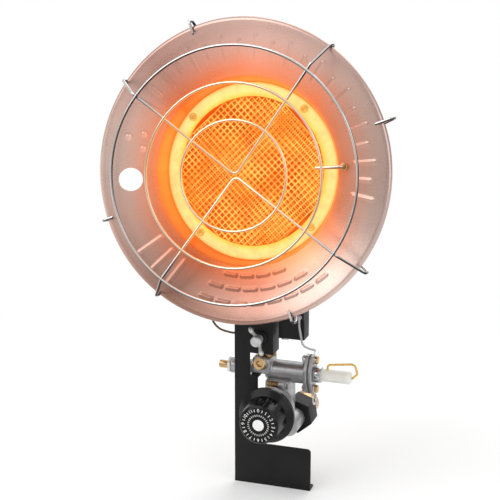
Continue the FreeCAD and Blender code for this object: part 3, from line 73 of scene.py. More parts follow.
class NodeGraph:
    """Adds nodes and links to one shader or geometry tree."""

    def __init__(self, tree: bpy.types.NodeTree) -> None:
        """Starts on a tree.

        Args:
            tree: The tree that the nodes go into.
        """
        self.tree = tree

    def add(self, kind: str, feeds: Optional[dict] = None, **settings: Any) -> bpy.types.Node:
        """Adds one node.

        Args:
            kind: The node's type name.
            feeds: Input name or number to a value or to another node's output.
            **settings: Properties of the node.

        Returns:
            The new node.
        """
        node = self.tree.nodes.new(kind)
        for name, value in settings.items():
            setattr(node, name, value)
        for key, value in (feeds or {}).items():
            self.feed(node, key, value)
        return node

    def feed(self, node: bpy.types.Node, key: Any, value: Any) -> None:
        """Sets one input of a node, or links it.

        Args:
            node: The node.
            key: The input's name or number.
            value: A value or another node's output.
        """
        if isinstance(value, Socket):
            self.tree.links.new(value, node.inputs[key])
        else:
            node.inputs[key].default_value = value

    def calc(self, operation: str, *values: Any) -> Socket:
        """Adds a Math node.

        Args:
            operation: The operation's name.
            *values: Numbers or outputs, in the order of the node's inputs.

        Returns:
            The result's socket.
        """
        node = self.add("ShaderNodeMath", dict(enumerate(values)), operation=operation)
        return node.outputs[0]

    def remap(self, value: Socket, low: float, high: float, to_low: float, to_high: float) -> Socket:
        """Maps one range to another along a smooth step.

        Args:
            value: What is mapped.
            low: Start of the range.
            high: End of the range.
            to_low: Result at the start.
            to_high: Result at the end.

        Returns:
            The result's socket.
        """
        feeds = {0: value, 1: low, 2: high, 3: to_low, 4: to_high}
        node = self.add("ShaderNodeMapRange", feeds, interpolation_type="SMOOTHSTEP")
        return node.outputs[0]

    def ramp(self, value: Socket, stops: Sequence[tuple[float, Color]]) -> Socket:
        """Adds a colour ramp.

        Args:
            value: What is coloured, from 0 to 1.
            stops: Places and colours, in order.

        Returns:
            The colour's socket.
        """
        node = self.add("ShaderNodeValToRGB", {0: value})
        elements = node.color_ramp.elements
        while len(elements) < len(stops):
            elements.new(0.5)
        for element, (place, color) in zip(elements, stops):
            element.position = place
            element.color = (*color, 1.0)
        return node.outputs[0]

    def mix(self, share: Any, first: Any, second: Any) -> Socket:
        """Mixes two colours.

        Args:
            share: How much of the second one.
            first: A colour or an output.
            second: A colour or an output.

        Returns:
            The colour's socket.
        """
        node = self.add("ShaderNodeMix", data_type="RGBA")
        for index, value in ((0, share), (6, first), (7, second)):
            if index and not isinstance(value, Socket):
                value = (*value, 1.0)
            self.feed(node, index, value)
        return node.outputs[2]


@dataclass(frozen=True)
class Head:
    """Where the dish sits, and how its own frame lies: x right, y back from the rim, z up."""

    x: float = -32.3 * MM
    y: float = -78.0 * MM
    z: float = 219.0 * MM
    tilt: float = math.radians(9.3)

    @property
    def centre(self) -> Vector:
        """The centre of the rim."""
        return Vector((self.x, self.y, self.z))

    @property
    def matrix(self) -> Matrix:
        """From the dish's frame to the heater's."""
        return Matrix.Translation(self.centre) @ Matrix.Rotation(-self.tilt, 4, "X")

    def point(self, turn: float, radius: float, depth: float) -> Vector:
        """A point of the dish's frame in its own axes.

        Args:
            turn: Angle in degrees, from the right, counter-clockwise from the front.
            radius: Distance from the dish's axis.
            depth: Distance behind the rim plane.

        Returns:
            The point, still in the dish's frame.
        """
        angle = math.radians(turn)
        return Vector((radius * math.cos(angle), depth, radius * math.sin(angle)))


HEAD = Head()


@dataclass(frozen=True)
class Finish:
    """A surface with a base colour, mottling, roughness and a fine grain."""

    name: str
    base: Color
    second: Color
    metallic: float = 0.0
    roughness: float = 0.4
    rough_spread: float = 0.08
    mottle_size: float = 12 * MM
    grain_size: float = 0.4 * MM
    grain_depth: float = 0.02 * MM
    coat: float = 0.0
    specular: float = 0.5

    def build(self) -> bpy.types.Material:
        """Makes the material.

        Returns:
            The new material.
        """
        material = bpy.data.materials.new(self.name)
        material.use_nodes = True
        graph = NodeGraph(material.node_tree)
        shader = material.node_tree.nodes["Principled BSDF"]
        place = graph.add("ShaderNodeTexCoord").outputs["Object"]
        mottle = graph.add("ShaderNodeTexNoise", {
            "Vector": place, "Scale": 1 / self.mottle_size, "Detail": 4.0, "Roughness": 0.6,
        }).outputs[0]
        grain = graph.add("ShaderNodeTexNoise", {
            "Vector": place, "Scale": 1 / self.grain_size, "Detail": 3.0, "Roughness": 0.55,
        }).outputs[0]
        self.dress(graph, shader, place, mottle, grain)
        return material

    def dress(self, graph: NodeGraph, shader: bpy.types.Node, place: Socket, mottle: Socket,
              grain: Socket) -> None:
        """Feeds the shader.

        Args:
            graph: The material's graph.
            shader: The shader node.
            place: Object coordinates; not used here.
            mottle: Broad noise.
            grain: Fine noise.
        """
        color = graph.mix(graph.remap(mottle, 0.35, 0.65, 0.0, 1.0), self.base, self.second)
        graph.feed(shader, "Base Color", color)
        self.surface(graph, shader, mottle, grain)

    def surface(self, graph: NodeGraph, shader: bpy.types.Node, mottle: Socket, grain: Socket) -> None:
        """Sets metal, roughness, coat and grain.

        Args:
            graph: The material's graph.
            shader: The shader node.
            mottle: Broad noise.
            grain: Fine noise.
        """
        shader.inputs["Metallic"].default_value = self.metallic
        shader.inputs["Specular IOR Level"].default_value = self.specular
        shader.inputs["Coat Weight"].default_value = self.coat
        low = self.roughness - self.rough_spread
        high = self.roughness + self.rough_spread
        both = graph.calc("MULTIPLY_ADD", grain, 0.5, graph.calc("MULTIPLY", mottle, 0.5))
        rough = graph.remap(both, 0.35, 0.65, low, high)
        graph.feed(shader, "Roughness", rough)
        bump = graph.add("ShaderNodeBump", {
            "Height": grain, "Strength": 1.0, "Distance": self.grain_depth,
        })
        graph.feed(shader, "Normal", bump.outputs[0])


def dish_place(graph: NodeGraph, place: Socket) -> tuple[Socket, Socket, Socket]:
    """Radius, depth and turn in the dish's frame.

    Args:
        graph: The material's graph.
        place: Object coordinates.

    Returns:
        The radius from the dish's axis, the depth behind its rim, and the angle round the axis as
        0 to 1, which starts at the left and goes through the bottom, the right and the top.
    """
    local = graph.add("ShaderNodeMapping", {
        "Vector": place, "Location": HEAD.centre, "Rotation": (-HEAD.tilt, 0.0, 0.0),
    }, vector_type="TEXTURE").outputs[0]
    parts = graph.add("ShaderNodeSeparateXYZ", {0: local}).outputs
    squares = graph.calc("MULTIPLY_ADD", parts[0], parts[0], graph.calc("MULTIPLY", parts[2], parts[2]))
    angle = graph.calc("ARCTAN2", parts[2], parts[0])
    turn = graph.calc("MULTIPLY_ADD", angle, 0.5 / math.pi, 0.5)
    return graph.calc("SQRT", squares), parts[1], turn


def faces_front(graph: NodeGraph, place: Socket) -> Socket:
    """Tells the burner's side of the sheet from its back.

    Args:
        graph: The material's graph.
        place: Object coordinates.

    Returns:
        1 on the side that faces the burner's front, 0 behind.
    """
    away = graph.add("ShaderNodeVectorMath", {0: place, 1: HEAD.centre},
                     operation="SUBTRACT").outputs[0]
    normal = graph.add("ShaderNodeNewGeometry").outputs["Normal"]
    towards = graph.add("ShaderNodeVectorMath", {0: normal, 1: away},
                        operation="DOT_PRODUCT").outputs[1]
    return graph.calc("LESS_THAN", towards, 0.0)


@dataclass(frozen=True)
class DishFinish(Finish):
    """Bright dish steel with the burner's orange light painted into its colour towards the middle,
    painted reflections and shade round it, and a painted glow near the recess.
    """

    hot_radius: float = 66 * MM
    cool_radius: float = 116 * MM
    wander: float = 12 * MM
    back_depths: tuple[float, float] = (34 * MM, 36 * MM)
    fall_radii: tuple[float, float] = (74 * MM, 100 * MM)
    wall_depths: tuple[float, float] = (13 * MM, 24 * MM)
    corner_radii: tuple[float, float] = (76.5 * MM, 80 * MM)
    # Strength of the painted glow near the recess.
    glow: float = 0.62
    # Painted reflections and shade: the base colour goes lighter or darker by the angle round the dish.
    tones: tuple[tuple[float, Color], ...] = (
        (0.0, (1.0, 1.0, 1.0)),
        (0.07, (0.86, 0.76, 0.72)),
        (0.17, (0.42, 0.31, 0.27)),
        (0.28, (0.50, 0.38, 0.34)),
        (0.37, (0.86, 0.86, 0.86)),
        (0.45, (0.66, 0.66, 0.66)),
        (0.58, (0.62, 0.58, 0.57)),
        (0.74, (0.92, 0.80, 0.78)),
        (0.87, (0.60, 0.47, 0.44)),
        (0.95, (0.90, 0.84, 0.82)),
        (1.0, (1.0, 1.0, 1.0)),
    )

    def dress(self, graph: NodeGraph, shader: bpy.types.Node, place: Socket, mottle: Socket,
              grain: Socket) -> None:
        """Feeds the shader with the painted burner light, painted reflections and shade, and a painted
        glow. See Finish.dress for the arguments.
        """
        radius, depth, turn = dish_place(graph, place)
        # Painted light: the burner's orange light is painted into the base colour, strongest near the
        # middle of the dish.
        wander = graph.calc("MULTIPLY", graph.calc("SUBTRACT", mottle, 0.5), self.wander)
        reach = graph.calc("ADD", radius, wander)
        span = self.cool_radius - self.hot_radius
        share = graph.calc("DIVIDE", graph.calc("SUBTRACT", reach, self.hot_radius), span)
        painted_burner_light = graph.ramp(share, (
            (0.0, (1.0, 0.25, 0.06)),
            (0.25, (1.0, 0.36, 0.18)),
            (0.5, (0.95, 0.50, 0.37)),
            (0.75, (0.86, 0.60, 0.51)),
            (1.0, (0.80, 0.60, 0.53)),
        ))
        # Painted reflections and shade by the angle round the dish, multiplied into the painted burner
        # light.
        tone = graph.ramp(turn, self.tones)
        dish_colour_with_painted_light = graph.add("ShaderNodeMix", {0: 1.0, 6: painted_burner_light, 7: tone}, data_type="RGBA",
                           blend_type="MULTIPLY")
        graph.feed(shader, "Base Color", dish_colour_with_painted_light.outputs[2])
        # Painted glow: the sheet near the recess glows orange, standing in for the burner's light on it.
        front = graph.calc("MULTIPLY", graph.remap(depth, *self.back_depths, 1.0, 0.0),
                           faces_front(graph, place))
        fall = graph.remap(radius, *self.fall_radii, 1.0, 0.0)
        wall = graph.remap(depth, *self.wall_depths, 0.34, 1.0)
        inner = graph.remap(radius, *self.corner_radii, 1.0, 0.6)
        facing = graph.calc("MULTIPLY", fall, front)
        share = graph.calc("MULTIPLY", facing, graph.calc("MULTIPLY", wall, inner))
        graph.feed(shader, "Emission Strength", graph.calc("MULTIPLY", share, self.glow))
        shader.inputs["Emission Color"].default_value = (1.0, 0.17, 0.02, 1.0)
        self.surface(graph, shader, mottle, grain)


@dataclass(frozen=True)
class FlangeFinish(Finish):
    """Burner steel with a painted yellow glow of the burner's light on its flange and a painted dark red
    glow inside the cup; plain behind the dish.
    """

    # Strength of the painted glow on the flange.
    glow: float = 0.88
    front_depths: tuple[float, float] = (31.2 * MM, 33 * MM)
    ring_start: float = 58 * MM
    ring_width: float = 14 * MM
    inner_radius: float = 60.3 * MM
    inner_depths: tuple[float, float] = (31 * MM, 67.3 * MM)

    def dress(self, graph: NodeGraph, shader: bpy.types.Node, place: Socket, mottle: Socket,
              grain: Socket) -> None:
        """Feeds the shader with the painted glow of the flange and of the cup's inside. See Finish.dress
        for the arguments.
        """
        radius, depth, _ = dish_place(graph, place)
        front = graph.remap(depth, *self.front_depths, 1.0, 0.0)
        beyond = graph.calc("SUBTRACT", radius, self.ring_start)
        across = graph.calc("DIVIDE", beyond, self.ring_width)
        # Painted glow: the burner's yellow light on the flange, by the distance across the ring.
        painted_flange_glow = graph.ramp(across, (
            (0.0, (1.0, 0.46, 0.03)),
            (0.22, (1.0, 0.72, 0.12)),
            (0.45, (1.0, 0.86, 0.30)),
            (0.8, (1.0, 0.82, 0.30)),
            (1.0, (1.0, 0.42, 0.06)),
        ))
        plain = graph.mix(graph.remap(mottle, 0.35, 0.65, 0.0, 1.0), self.base, self.second)
        # Painted dark red glow inside the cup, behind the screens.
        inside = graph.calc("MULTIPLY", graph.calc("LESS_THAN", radius, self.inner_radius),
                            graph.calc("LESS_THAN", depth, self.inner_depths[1]))
        behind = graph.calc("GREATER_THAN", depth, self.inner_depths[0])
        painted_flange_glow = graph.mix(graph.calc("MULTIPLY", inside, behind), painted_flange_glow, (0.75, 0.07, 0.003))
        front = graph.calc("MAXIMUM", front, inside)
        graph.feed(shader, "Base Color", graph.mix(front, plain, (0.30, 0.14, 0.03)))
        graph.feed(shader, "Emission Color", painted_flange_glow)
        patch = graph.remap(mottle, 0.3, 0.7, 0.85, 1.05)
        strength = graph.calc("MULTIPLY", graph.calc("MULTIPLY", front, patch), self.glow)
        graph.feed(shader, "Emission Strength", strength)
        self.surface(graph, shader, mottle, grain)


@dataclass(frozen=True)
class EmberFinish(Finish):
    """A glowing surface: its colour wanders between two glowing tones. The screens and the hot plate
    really glow; on the rivets the glow is painted light of the burner.
    """

    cool_glow: Color = (1.0, 0.22, 0.01)
    hot_glow: Color = (1.0, 0.48, 0.08)
    glow: float = 1.0
    patch_size: float = 30 * MM

    def dress(self, graph: NodeGraph, shader: bpy.types.Node, place: Socket, mottle: Socket,
              grain: Socket) -> None:
        """Feeds the shader with the ember colours. See Finish.dress for the arguments."""
        patch = graph.add("ShaderNodeTexNoise", {
            "Vector": place, "Scale": 1 / self.patch_size, "Detail": 3.0, "Roughness": 0.7,
        }).outputs[0]
        share = graph.remap(patch, 0.38, 0.62, 0.0, 1.0)
        color = graph.mix(share, self.cool_glow, self.hot_glow)
        graph.feed(shader, "Emission Color", color)
        base = graph.mix(share, self.base, self.second)
        graph.feed(shader, "Base Color", base)
        strength = graph.calc("MULTIPLY", graph.remap(mottle, 0.3, 0.7, 0.75, 1.15), self.glow)
        graph.feed(shader, "Emission Strength", strength)
        self.surface(graph, shader, mottle, grain)


@dataclass(frozen=True)
class WireFinish(Finish):
    """Bright wire with painted shade below and, near the middle of the dish, a painted reflection of the
    burner on its sides.
    """

    lit_side: Color = (-0.45, -0.15, 0.88)
    shade: Color = (0.045, 0.040, 0.038)
    warm_radii: tuple[float, float] = (60 * MM, 92 * MM)
    front_depths: tuple[float, float] = (14 * MM, 24 * MM)
    glow: float = 0.55

    def dress(self, graph: NodeGraph, shader: bpy.types.Node, place: Socket, mottle: Socket,
              grain: Socket) -> None:
        """Feeds the shader with painted shade below and a painted reflection of the burner. See
        Finish.dress for the arguments.
        """
        radius, depth, _ = dish_place(graph, place)
        burner_reflection = graph.remap(radius, *self.warm_radii, 1.0, 0.0)
        front = graph.remap(depth, *self.front_depths, 1.0, 0.0)
        # Painted shade: the side that faces away from lit_side is darkened towards the shade colour.
        normal = graph.add("ShaderNodeNewGeometry").outputs["Normal"]
        upward = graph.add("ShaderNodeVectorMath", {0: normal, 1: self.lit_side},
                           operation="DOT_PRODUCT").outputs[1]
        lit = graph.remap(upward, -0.15, 0.45, 0.0, 1.0)
        steel = graph.mix(mottle, self.base, self.second)
        shaded = graph.mix(lit, self.shade, steel)
        frontward = graph.add("ShaderNodeVectorMath", {0: normal, 1: (0.0, -1.0, 0.0)},
                              operation="DOT_PRODUCT").outputs[1]
        side = graph.remap(frontward, 0.55, 0.9, 1.0, 0.25)
        # Painted reflection: the burner's orange is painted into the colour and glow of the wire's
        # sides.
        share = graph.calc("MULTIPLY", graph.calc("MULTIPLY", burner_reflection, front), side)
        graph.feed(shader, "Base Color", graph.mix(share, shaded, (1.0, 0.55, 0.22)))
        shader.inputs["Emission Color"].default_value = (1.0, 0.50, 0.16, 1.0)
        graph.feed(shader, "Emission Strength", graph.calc("MULTIPLY", share, self.glow))
        self.surface(graph, shader, mottle, grain)


@dataclass(frozen=True)
class SleeveFinish(Finish):
    """A braided sleeve: two crossed wave bands give the plait."""

    strand: float = 0.9 * MM

    def dress(self, graph: NodeGraph, shader: bpy.types.Node, place: Socket, mottle: Socket,
              grain: Socket) -> None:
        """Feeds the shader with the plait. See Finish.dress for the arguments."""
        bands = []
        for turn in (math.radians(45), math.radians(-45)):
            turned = graph.add("ShaderNodeMapping", {"Vector": place, "Rotation": (turn, turn, turn)})
            wave = graph.add("ShaderNodeTexWave", {
                "Vector": turned.outputs[0], "Scale": 0.31 / self.strand, "Distortion": 1.0,
            })
            bands.append(wave.outputs[0])
        plait = graph.calc("MAXIMUM", *bands)
        graph.feed(shader, "Base Color", graph.mix(plait, self.second, self.base))
        self.surface(graph, shader, mottle, plait)


@dataclass(frozen=True)
class NylonFinish(Finish):
    """Milky nylon that lets some light through."""

    def dress(self, graph: NodeGraph, shader: bpy.types.Node, place: Socket, mottle: Socket,
              grain: Socket) -> None:
        """Feeds the shader, with light under the skin. See Finish.dress for the arguments."""
        super().dress(graph, shader, place, mottle, grain)
        shader.inputs["Subsurface Weight"].default_value = 0.6
        shader.inputs["Subsurface Radius"].default_value = (1.0, 0.9, 0.75)
        shader.inputs["Subsurface Scale"].default_value = 3 * MM
        shader.inputs["Transmission Weight"].default_value = 0.25


class Finishes:
    """Every material of the heater, made once."""

    def __init__(self) -> None:
        """Makes the materials."""
        # Painted burner light, painted reflections and shade, and a painted glow near the recess.
        self.dish = DishFinish(
            "dish_steel", (0.8, 0.5, 0.4), (0.7, 0.5, 0.4), metallic=0.92, roughness=0.30,
            rough_spread=0.05, mottle_size=45 * MM, grain_size=0.5 * MM, grain_depth=0.006 * MM,
        ).build()
        # Painted glow of the burner's light on the flange and inside the cup.
        self.flange = FlangeFinish(
            "burner_flange", (0.62, 0.60, 0.56), (0.50, 0.47, 0.43), metallic=0.85, roughness=0.38,
            mottle_size=9 * MM, grain_size=0.7 * MM, grain_depth=0.01 * MM,
        ).build()
        self.screen_front = EmberFinish(
            "screen_wire_front", (0.30, 0.10, 0.02), (0.36, 0.14, 0.03), roughness=0.6,
            cool_glow=(1.0, 0.36, 0.03), hot_glow=(1.0, 0.62, 0.11), glow=1.0, mottle_size=6 * MM,
        ).build()
        self.screen_back = EmberFinish(
            "screen_wire_back", (0.24, 0.06, 0.01), (0.30, 0.09, 0.02), roughness=0.6,
            cool_glow=(1.0, 0.27, 0.012), hot_glow=(1.0, 0.45, 0.05), glow=0.95, mottle_size=6 * MM,
        ).build()
        self.ember = EmberFinish(
            "hot_plate", (0.20, 0.04, 0.01), (0.24, 0.06, 0.01), roughness=0.8,
            cool_glow=(0.80, 0.065, 0.002), hot_glow=(0.90, 0.16, 0.006), glow=0.72,
        ).build()
        # Painted glow: the rivets glow with the burner's light on the flange.
        self.rivet = EmberFinish(
            "rivet_painted_glow", (0.62, 0.38, 0.12), (0.52, 0.30, 0.09), metallic=0.9, roughness=0.25,
            cool_glow=(1.0, 0.50, 0.06), hot_glow=(1.0, 0.60, 0.12), glow=0.40, mottle_size=6 * MM,
        ).build()
        # Painted shade below and a painted reflection of the burner near the middle.
        self.wire = WireFinish(
            "bright_wire_steel", (0.84, 0.83, 0.82), (0.72, 0.71, 0.70), metallic=1.0,
            roughness=0.16, rough_spread=0.05, mottle_size=20 * MM, grain_size=0.8 * MM,
            grain_depth=0.004 * MM,
        ).build()
        self.plated = Finish(
            "plated_steel", (0.76, 0.76, 0.75), (0.64, 0.63, 0.61), metallic=1.0, roughness=0.28,
            mottle_size=5 * MM, grain_size=0.5 * MM, grain_depth=0.008 * MM,
        ).build()
        self.wing = Finish(
            "dull_zinc", (0.60, 0.61, 0.61), (0.50, 0.51, 0.51), metallic=0.6, roughness=0.42,
            mottle_size=6 * MM, grain_size=0.5 * MM, grain_depth=0.02 * MM,
        ).build()
        self.black_coat = Finish(
            "black_coat", (0.0065, 0.006, 0.0065), (0.010, 0.0095, 0.010), roughness=0.5,
            specular=0.22, rough_spread=0.06, mottle_size=22 * MM, grain_size=0.55 * MM,
            grain_depth=0.03 * MM,
        ).build()
        self.moulded = Finish(
            "moulded_black", (0.003, 0.003, 0.0033), (0.005, 0.005, 0.0055), roughness=0.2,
            specular=0.2, rough_spread=0.05, mottle_size=14 * MM, grain_size=0.7 * MM,
            grain_depth=0.008 * MM,
        ).build()
        self.matt_black = Finish(
            "matt_moulded_black", (0.004, 0.004, 0.0045), (0.007, 0.007, 0.0075), roughness=0.48,
            specular=0.25, mottle_size=10 * MM, grain_size=0.35 * MM, grain_depth=0.03 * MM,
        ).build()
        self.cast = Finish(
            "cast_zinc", (0.42, 0.42, 0.425), (0.34, 0.34, 0.345), metallic=0.8, roughness=0.34,
            rough_spread=0.06, mottle_size=9 * MM, grain_size=0.6 * MM, grain_depth=0.025 * MM,
        ).build()
        self.brass = Finish(
            "turned_brass", (0.62, 0.42, 0.22), (0.48, 0.31, 0.15), metallic=1.0, roughness=0.26,
            mottle_size=3 * MM, grain_size=0.3 * MM, grain_depth=0.006 * MM,
        ).build()
        self.gold_wire = Finish(
            "yellow_spring_wire", (0.80, 0.52, 0.13), (0.70, 0.43, 0.09), metallic=0.5,
            roughness=0.3, mottle_size=4 * MM, grain_size=0.4 * MM, grain_depth=0.006 * MM,
        ).build()
        self.chrome = Finish(
            "bright_collar", (0.50, 0.50, 0.52), (0.42, 0.42, 0.44), metallic=1.0, roughness=0.14,
            rough_spread=0.03, mottle_size=5 * MM, grain_size=0.5 * MM, grain_depth=0.003 * MM,
        ).build()
        self.nylon = NylonFinish(
            "milky_nylon", (0.90, 0.90, 0.86), (0.84, 0.84, 0.79), roughness=0.35,
            mottle_size=6 * MM, grain_size=0.6 * MM, grain_depth=0.006 * MM,
        ).build()
        self.white = Finish(
            "white_print", (0.86, 0.86, 0.85), (0.78, 0.78, 0.77), roughness=0.45,
            mottle_size=2 * MM, grain_size=0.3 * MM, grain_depth=0.004 * MM,
        ).build()
        self.brown_sleeve = SleeveFinish(
            "brown_braid", (0.16, 0.07, 0.035), (0.05, 0.022, 0.012), roughness=0.6,
            grain_depth=0.06 * MM,
        ).build()
        self.grey_sleeve = Finish(
            "grey_silicone", (0.42, 0.42, 0.43), (0.34, 0.34, 0.35), roughness=0.4,
            mottle_size=8 * MM, grain_size=0.5 * MM, grain_depth=0.01 * MM,
        ).build()
        self.rubber = Finish(
            "black_rubber", (0.015, 0.015, 0.015), (0.025, 0.025, 0.025), roughness=0.65,
            mottle_size=6 * MM, grain_size=0.4 * MM, grain_depth=0.02 * MM,
        ).build()
        self.fibre = Finish(
            "gasket_fibre", (0.10, 0.09, 0.08), (0.06, 0.055, 0.05), roughness=0.8,
            mottle_size=3 * MM, grain_size=0.3 * MM, grain_depth=0.04 * MM,
        ).build()


class Workshop:
    """Ways to make meshes, shared by every sub-assembly."""

    def __init__(self, finishes: Finishes) -> None:
        """Keeps the materials.

        Args:
            finishes: The heater's materials.
        """
        self.finishes = finishes

    def piece(self, name: str, mesh: bpy.types.Mesh, material: bpy.types.Material, body: Body,
              slot: str, stands_for: Sequence[str] = ()) -> bpy.types.Object:
        """Makes a finished piece from a mesh that is in place.

        Args:
            name: The piece's name.
            mesh: Its mesh, in the heater's frame.
            material: Its finish.
            body: The body it rides on.
            slot: A material slot's name; not used.
            stands_for: The CAD nodes that it replaces.

        Returns:
            The new object.
        """
        mesh.name = name
        mesh.materials.clear()
        mesh.materials.append(material)
        thing = bpy.data.objects.new(name, mesh)
        bpy.context.scene.collection.objects.link(thing)
        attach(thing, body.value)
        if stands_for:
            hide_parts(*stands_for)
        LOG.info("%s: %d faces", name, len(mesh.polygons))
        return thing

    def baked(self, thing: bpy.types.Object) -> bpy.types.Mesh:
        """Applies an object's modifiers and removes the object.

        Args:
            thing: An object with modifiers.

        Returns:
            The finished mesh.
        """
        bpy.context.view_layer.update()
        graph = bpy.context.evaluated_depsgraph_get()
        mesh = bpy.data.meshes.new_from_object(thing.evaluated_get(graph))
        bpy.data.objects.remove(thing)
        return mesh

    def loose(self, mesh: bpy.types.Mesh) -> bpy.types.Object:
        """Puts a mesh into a passing object, for modifiers."""
        thing = bpy.data.objects.new("passing", mesh)
        bpy.context.scene.collection.objects.link(thing)
        return thing

    def smooth(self, mesh: bpy.types.Mesh, angle: float = 40.0) -> bpy.types.Mesh:
        """Shades a mesh smooth, apart from its sharp edges.

        Args:
            mesh: The mesh.
            angle: Edges sharper than this many degrees stay sharp.

        Returns:
            The same mesh.
        """
        for polygon in mesh.polygons:
            polygon.use_smooth = True
        mesh.set_sharp_from_angle(angle=math.radians(angle))
        return mesh

    def cad_copy(self, node: str) -> bpy.types.Mesh:
        """Copies a CAD node's mesh, merged and with its flat faces joined.

        Args:
            node: The CAD node.

        Returns:
            The copy.
        """
        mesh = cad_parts[node].data.copy()
        shape = bmesh.new()
        shape.from_mesh(mesh)
        bmesh.ops.remove_doubles(shape, verts=shape.verts, dist=0.002 * MM)
        bmesh.ops.dissolve_limit(shape, angle_limit=math.radians(0.6), verts=shape.verts,
                                 edges=shape.edges)
        shape.to_mesh(mesh)
        shape.free()
        return mesh

    def eased(self, node: str, width: float, segments: int = 2, angle: float = 32.0) -> bpy.types.Mesh:
        """A CAD node's shape with its sharp edges rounded.

        Args:
            node: The CAD node.
            width: Width of the rounding.
            segments: Faces across it.
            angle: Edges sharper than this many degrees are rounded.

        Returns:
            The new mesh.
        """
        thing = self.loose(self.cad_copy(node))
        bevel = thing.modifiers.new("Ease", "BEVEL")
        bevel.width = width
        bevel.segments = segments
        bevel.limit_method = "ANGLE"
        bevel.angle_limit = math.radians(angle)
        bevel.miter_outer = "MITER_ARC"
        bevel.harden_normals = False
        return self.smooth(self.baked(thing), 38.0)

    def cast(self, node: str, voxel: float = 0.45 * MM, passes: int = 5) -> bpy.types.Mesh:
        """A CAD node's shape with the soft fillets of a casting.

        Args:
            node: The CAD node.
            voxel: Size of the grid that the shape is rebuilt on.
            passes: How often the shape is smoothed.

        Returns:
            The new mesh.
        """
        return self.fused(self.cad_copy(node), voxel, passes)

    def fused(self, mesh: bpy.types.Mesh, voxel: float, passes: int) -> bpy.types.Mesh:
        """Rebuilds a mesh on a fine grid and softens it, as a casting has it.

        Args:
            mesh: The mesh.
            voxel: Size of the grid.
            passes: How often the shape is smoothed.

        Returns:
            The new mesh.
        """
        thing = self.loose(mesh)
        rebuild = thing.modifiers.new("Rebuild", "REMESH")
        rebuild.mode = "VOXEL"
        rebuild.voxel_size = voxel
        soften = thing.modifiers.new("Soften", "SMOOTH")
        soften.factor = 0.5
        soften.iterations = passes
        return self.smooth(self.baked(thing), 60.0)

    def finished(self, shape: bmesh.types.BMesh, name: str) -> bpy.types.Mesh:
        """Writes a working shape into a new mesh and frees it.

        Args:
            shape: The working shape.
            name: The mesh's name.

        Returns:
            The new mesh.
        """
        mesh = bpy.data.meshes.new(name)
        shape.to_mesh(mesh)
        shape.free()
        return mesh

    def lathe(self, profile: Sequence[tuple[float, float]], segments: int = 96,
              closed: bool = True) -> bpy.types.Mesh:
        """Turns a profile once round the y axis.

        Args:
            profile: Points as (radius, y), going round the section.
            segments: Steps of the turn.
            closed: Whether the profile's end joins its start.

        Returns:
            The mesh, with y as its axis.
        """
        shape = bmesh.new()
        rings: list[list[bmesh.types.BMVert]] = []
        for radius, along in profile:
            if radius < AXIS_GAP:
                rings.append([shape.verts.new((0.0, along, 0.0))] * segments)
                continue
            ring = []
            for step in range(segments):
                angle = 2 * math.pi * step / segments
                x, z = radius * math.cos(angle), radius * math.sin(angle)
                ring.append(shape.verts.new((x, along, z)))
            rings.append(ring)
        pairs = list(zip(rings, rings[1:]))
        if closed:
            pairs.append((rings[-1], rings[0]))
        for first, second in pairs:
            for step in range(segments):
                after = (step + 1) % segments
                corners = [first[step], first[after], second[after], second[step]]
                unique = list(dict.fromkeys(corners))
                if len(unique) > 2:
                    shape.faces.new(unique)
        bmesh.ops.recalc_face_normals(shape, faces=shape.faces)
        return self.finished(shape, "lathe")

    def tube(self, points: Sequence[Vector], radius: float, sides: int = 12,
             closed: bool = False) -> bpy.types.Mesh:
        """Sweeps a circle along a line of points.

        Args:
            points: The line, in order.
            radius: The tube's radius.
            sides: Corners of its section.
            closed: Whether the line ends where it starts.

        Returns:
            The mesh, with rounded ends where it is open.
        """
        count = len(points)
        tangents = []
        for index in range(count):
            if closed:
                ahead, behind = points[(index + 1) % count], points[index - 1]
            else:
                ahead, behind = points[min(index + 1, count - 1)], points[max(index - 1, 0)]
            tangents.append((ahead - behind).normalized())
        side = tangents[0].orthogonal().normalized()
        stations = [(point, tangent, 1.0) for point, tangent in zip(points, tangents)]
        if not closed:
            caps = [(0.95, 0.35), (0.7, 0.75), (0.3, 0.96)]
            start = [(points[0] - tangents[0] * radius * out, tangents[0], share)
                     for share, out in reversed(caps)]
            end = [(points[-1] + tangents[-1] * radius * out, tangents[-1], share)
                   for share, out in caps]
            stations = start + stations + end
        shape = bmesh.new()
        rings = []
        for point, tangent, share in stations:
            side = (side - tangent * side.dot(tangent)).normalized()
            other = tangent.cross(side)
            ring = []
            for corner in range(sides):
                angle = 2 * math.pi * corner / sides
                arm = side * math.cos(angle) + other * math.sin(angle)
                ring.append(shape.verts.new(point + arm * radius * share))
            rings.append(ring)
        pairs = list(zip(rings, rings[1:]))
        if closed:
            gaps = [(rings[0][turn].co - rings[-1][0].co).length for turn in range(sides)]
            shift = gaps.index(min(gaps))
            pairs.append((rings[-1], rings[0][shift:] + rings[0][:shift]))
        for first, second in pairs:
            for corner in range(sides):
                after = (corner + 1) % sides
                shape.faces.new((first[corner], first[after], second[after], second[corner]))
        if not closed:
            shape.faces.new(rings[0])
            shape.faces.new(rings[-1])
        bmesh.ops.recalc_face_normals(shape, faces=shape.faces)
        return self.smooth(self.finished(shape, "tube"), 50.0)

